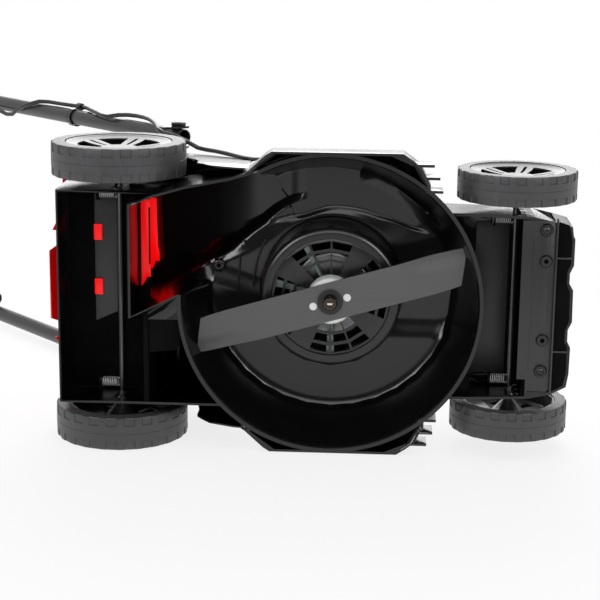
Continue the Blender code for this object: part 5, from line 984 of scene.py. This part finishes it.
class MOWER_OT_springs(bpy.types.Operator):
    """Wind the four axle springs."""
    bl_idname = "mower.springs"
    bl_label = "Springs"

    def execute(self, context):
        settings = context.scene.mower_springs
        coil = settings.coil
        t = np.linspace(0, 1, 16 * settings.curls + 1)
        angle = TURN * settings.curls * t
        bow = np.linspace(math.pi, 0, 9)[:-1, None]
        for end in ("front", "rear"):
            for hand in ("left", "right"):
                node = f"axle_spring_{end}_{hand}"
                low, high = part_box(node)
                centre = (low + high) / 2
                start, stop = low.y + 1.6 * mm, high.y - 0.4 * mm
                drop = centre.z - 1.5 * mm
                turns = np.stack([centre.x + coil * np.cos(angle), start + (stop - start) * t,
                                  drop + coil * np.sin(angle)], -1)
                hook = np.concatenate([centre.x + coil * np.cos(bow) * 0.9,
                                       start - 0.4 * mm - 3.4 * mm * np.sin(bow), drop + 0 * bow], 1)
                tail = np.array([[centre.x + coil, high.y - 0.1 * mm, drop]])
                tube(node + "_wound", np.concatenate([hook, turns, tail]), settings.wire, 8, "zinc_steel",
                     BODY_OF[node], (node,))
        return {"FINISHED"}


class MOWER_OT_carried_over(bpy.types.Operator):
    """Refine the pieces whose form the frame already has."""
    bl_idname = "mower.carried_over"
    bl_label = "Carried-over pieces"

    def execute(self, context):
        bevels = {"blade_bolt": 0.5 * mm, "switch_box": 1.2 * mm, "safety_key": 0.5 * mm,
                  "handle_bracket_left": 0.5 * mm, "handle_bracket_right": 0.5 * mm}
        smooth = {"upper_handle": 50, "lower_handle_left": 50, "lower_handle_right": 50, "bail_lever": 60,
                  "cable_lower": 60, "cable_upper": 60, "foam_grip": 50, "carry_handle": 60, "top_hood": 32,
                  "deck_shell": 30, "motor_cover": 30, "flap_spring": 60}
        finishes = {"blade_bolt": "bolt_steel", "blade_washer": "washer_steel", "motor_cover": "cover_plastic"}
        folds = {"cable_lower": ("machine", "lower_handle", from_axis(-161, 185, 221),
                                 from_axis(-188, 290, 338)),
                 "cable_upper": ("lower_handle", "upper_handle", from_axis(-160, 540, 611),
                                 from_axis(-150, 613, 693))}
        done = {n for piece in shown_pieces() for n in piece.get("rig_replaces", [])}
        for node in frame["nodes"]:
            if node not in done:
                piece = fine_copy(node, finishes.get(node), bevels.get(node, 0.0), smooth.get(node, 36),
                                  rides=node not in folds)
                if node in folds:
                    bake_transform(piece)
        return {"FINISHED"}


class MOWER_OT_stage(bpy.types.Operator):
    """Set up the pale floor, the soft light and the camera."""
    bl_idname = "mower.stage"
    bl_label = "Stage"

    def execute(self, context):
        settings = context.scene.mower_stage
        scene = context.scene
        right, up = Vector((-0.011955, -0.998659, 0.050375)), Vector((-0.973278, 0.023175, 0.228458))
        ahead = Vector((0.229319, 0.046298, 0.972250))
        camera = bpy.data.objects.new("camera", bpy.data.cameras.new("camera"))
        scene.collection.objects.link(camera)
        turn = Matrix((right, up, -ahead)).transposed().to_4x4()
        turn.translation = from_axis(-450.35, -53.64, -1868.64)
        camera.matrix_world = turn
        camera.data.lens = settings.lens
        camera.data.sensor_width = 36
        camera.data.clip_start = 0.05
        scene.camera = camera

        # The camera sees white, diffuse rays the daylight, and glossy rays the daylight with a shade that
        # deepens towards the photograph's side of the room
        room = Finish("white_room", "worlds")
        towards = room.node("ShaderNodeVectorMath", "Value", {"operation": "DOT_PRODUCT"},
                            {0: room.node("ShaderNodeTexCoord", "Generated"), 1: -ahead})
        fall = room.node("ShaderNodeMapRange", "Result", {"interpolation_type": "SMOOTHSTEP"},
                         {"Value": towards, "From Min": 0.50, "From Max": 0.90, "To Min": 1.0,
                          "To Max": settings.shade})
        white = (1, 1, 1, 1)
        shown, light, mirrored = (
            room.node("ShaderNodeBackground", "Background", None, {"Color": colour, "Strength": strength})
            for colour, strength in ((white, 1.0), (white, settings.daylight), (fall, settings.daylight)))
        unseen = room.either(room.ray("Is Glossy Ray"), light, mirrored)
        scene.world = room.end(room.either(room.ray("Is Camera Ray"), unseen, shown), "ShaderNodeOutputWorld")

        # A lamp above the rear of the hood, and three beside the camera that only gloss mirrors
        deck = middle("deck_shell")
        self.lamp(scene, "back_lamp", Vector((-1.0, deck.y, 1.6)), deck, 1.6, settings.back_light)
        focus = from_axis(0, 0, 60)
        for across, share in ((-0.98, 1.0), (0.0, 0.3), (0.98, 1.0)):
            soft = self.lamp(scene, "side_lamp", focus + Vector((-0.80, across, -1.05)), focus, 0.8,
                             settings.side_light * share)
            soft.visible_diffuse = False
        self.ground()
        scene.view_settings.view_transform = "Standard"
        return {"FINISHED"}

    def lamp(self, scene, name, place, target, size, power):
        """A square area lamp that looks at a point."""
        lamp = bpy.data.objects.new(name, bpy.data.lights.new(name, "AREA"))
        lamp.data.shape = "SQUARE"
        lamp.data.size = size
        lamp.data.energy = power
        lamp.location = place
        lamp.rotation_euler = (Vector(target) - place).to_track_quat("-Z", "Y").to_euler()
        lamp.visible_camera = False
        scene.collection.objects.link(lamp)
        return lamp

    def ground(self):
        """Two floors seen from their front only: one under the wheels, one beside the left wheels."""
        reach = 3.0
        x, y, _ = (CAD_BOX[0] + CAD_BOX[1]) / 2
        under = self.floor("floor_under_wheels", [(x - reach, y - reach, 0), (x + reach, y - reach, 0),
                                                  (x + reach, y + reach, 0), (x - reach, y + reach, 0)])
        under.visible_diffuse = under.visible_glossy = under.visible_transmission = False
        beside = max(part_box(node)[1].x for node in ("rear_left_tyre", "deck_shell")) + 0.6 * mm
        rear, front = (middle(node).y for node in ("rear_left_tyre", "front_left_tyre"))
        along = math.copysign(reach, front - rear)
        y0, y1 = rear - along, front + along
        self.floor("floor_beside_wheels", [(beside, y0, -reach), (beside, y1, -reach), (beside, y1, reach),
                                           (beside, y0, reach)])

    def floor(self, name, corners):
        """A white floor that is clear from behind, and fades out for the camera far from the machine.

        A share of it glows for every ray, so its shadows stay pale and it lights what stands near it a little.
        """
        glow, albedo = 0.80, 0.96
        near, far = 0.55, 1.10
        mesh = bpy.data.meshes.new(name)
        mesh.from_pydata(corners, [], [(0, 1, 2, 3)])
        piece = bpy.data.objects.new(name, mesh)
        bpy.context.scene.collection.objects.link(piece)
        paint = Finish(name)
        away = paint.node("ShaderNodeVectorMath", "Value", {"operation": "DISTANCE"},
                          {0: paint.node("ShaderNodeNewGeometry", "Position"),
                           1: (CAD_BOX[0].x, middle("deck_shell").y, 0.1)})
        fade = away.between(near, far) * paint.ray("Is Camera Ray")
        behind = paint.node("ShaderNodeNewGeometry", "Backfacing")
        white = paint.node("ShaderNodeBsdfDiffuse", "BSDF", None, {"Color": (albedo, albedo, albedo, 1)})
        lifted = paint.either(glow, white, paint.node("ShaderNodeEmission", "Emission"))
        clear = paint.node("ShaderNodeBsdfTransparent", "BSDF")
        mesh.materials.append(paint.end(paint.either(paint.sum_of("MAXIMUM", fade, behind), lifted, clear)))
        piece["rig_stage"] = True
        return piece


class MOWER_PT_looks(bpy.types.Panel):
    """Lists the steps that draw the machine."""
    bl_idname = "MOWER_PT_looks"
    bl_label = "Mower looks"
    bl_space_type = "VIEW_3D"
    bl_region_type = "UI"
    bl_category = "Mower"

    def draw(self, context):
        for group in GROUPS:
            settings = getattr(context.scene, group)
            for key in settings.__annotations__:
                self.layout.prop(settings, key)
        for step in STEPS:
            self.layout.operator(step.bl_idname)


STEPS = (MOWER_OT_finishes, MOWER_OT_drum, MOWER_OT_blade, MOWER_OT_bays, MOWER_OT_wheels, MOWER_OT_springs,
         MOWER_OT_carried_over, MOWER_OT_stage)
GROUPS = {"mower_wheels": MowerWheelSettings, "mower_springs": MowerSpringSettings,
          "mower_drum": MowerDrumSettings, "mower_blade": MowerBladeSettings,
          "mower_colours": MowerColourSettings, "mower_stage": MowerStageSettings}


def register():
    for group in GROUPS.values():
        bpy.utils.register_class(group)
    for key, group in GROUPS.items():
        setattr(bpy.types.Scene, key, PointerProperty(type=group))
    for step in STEPS + (MOWER_PT_looks,):
        bpy.utils.register_class(step)


def unregister():
    for step in (MOWER_PT_looks,) + STEPS[::-1]:
        bpy.utils.unregister_class(step)
    for key, group in GROUPS.items():
        delattr(bpy.types.Scene, key)
        bpy.utils.unregister_class(group)


def main():
    """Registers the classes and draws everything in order."""
    register()
    for step in STEPS:
        group, verb = step.bl_idname.split(".")
        getattr(getattr(bpy.ops, group), verb)()


if __name__ == "__main__":
    main()
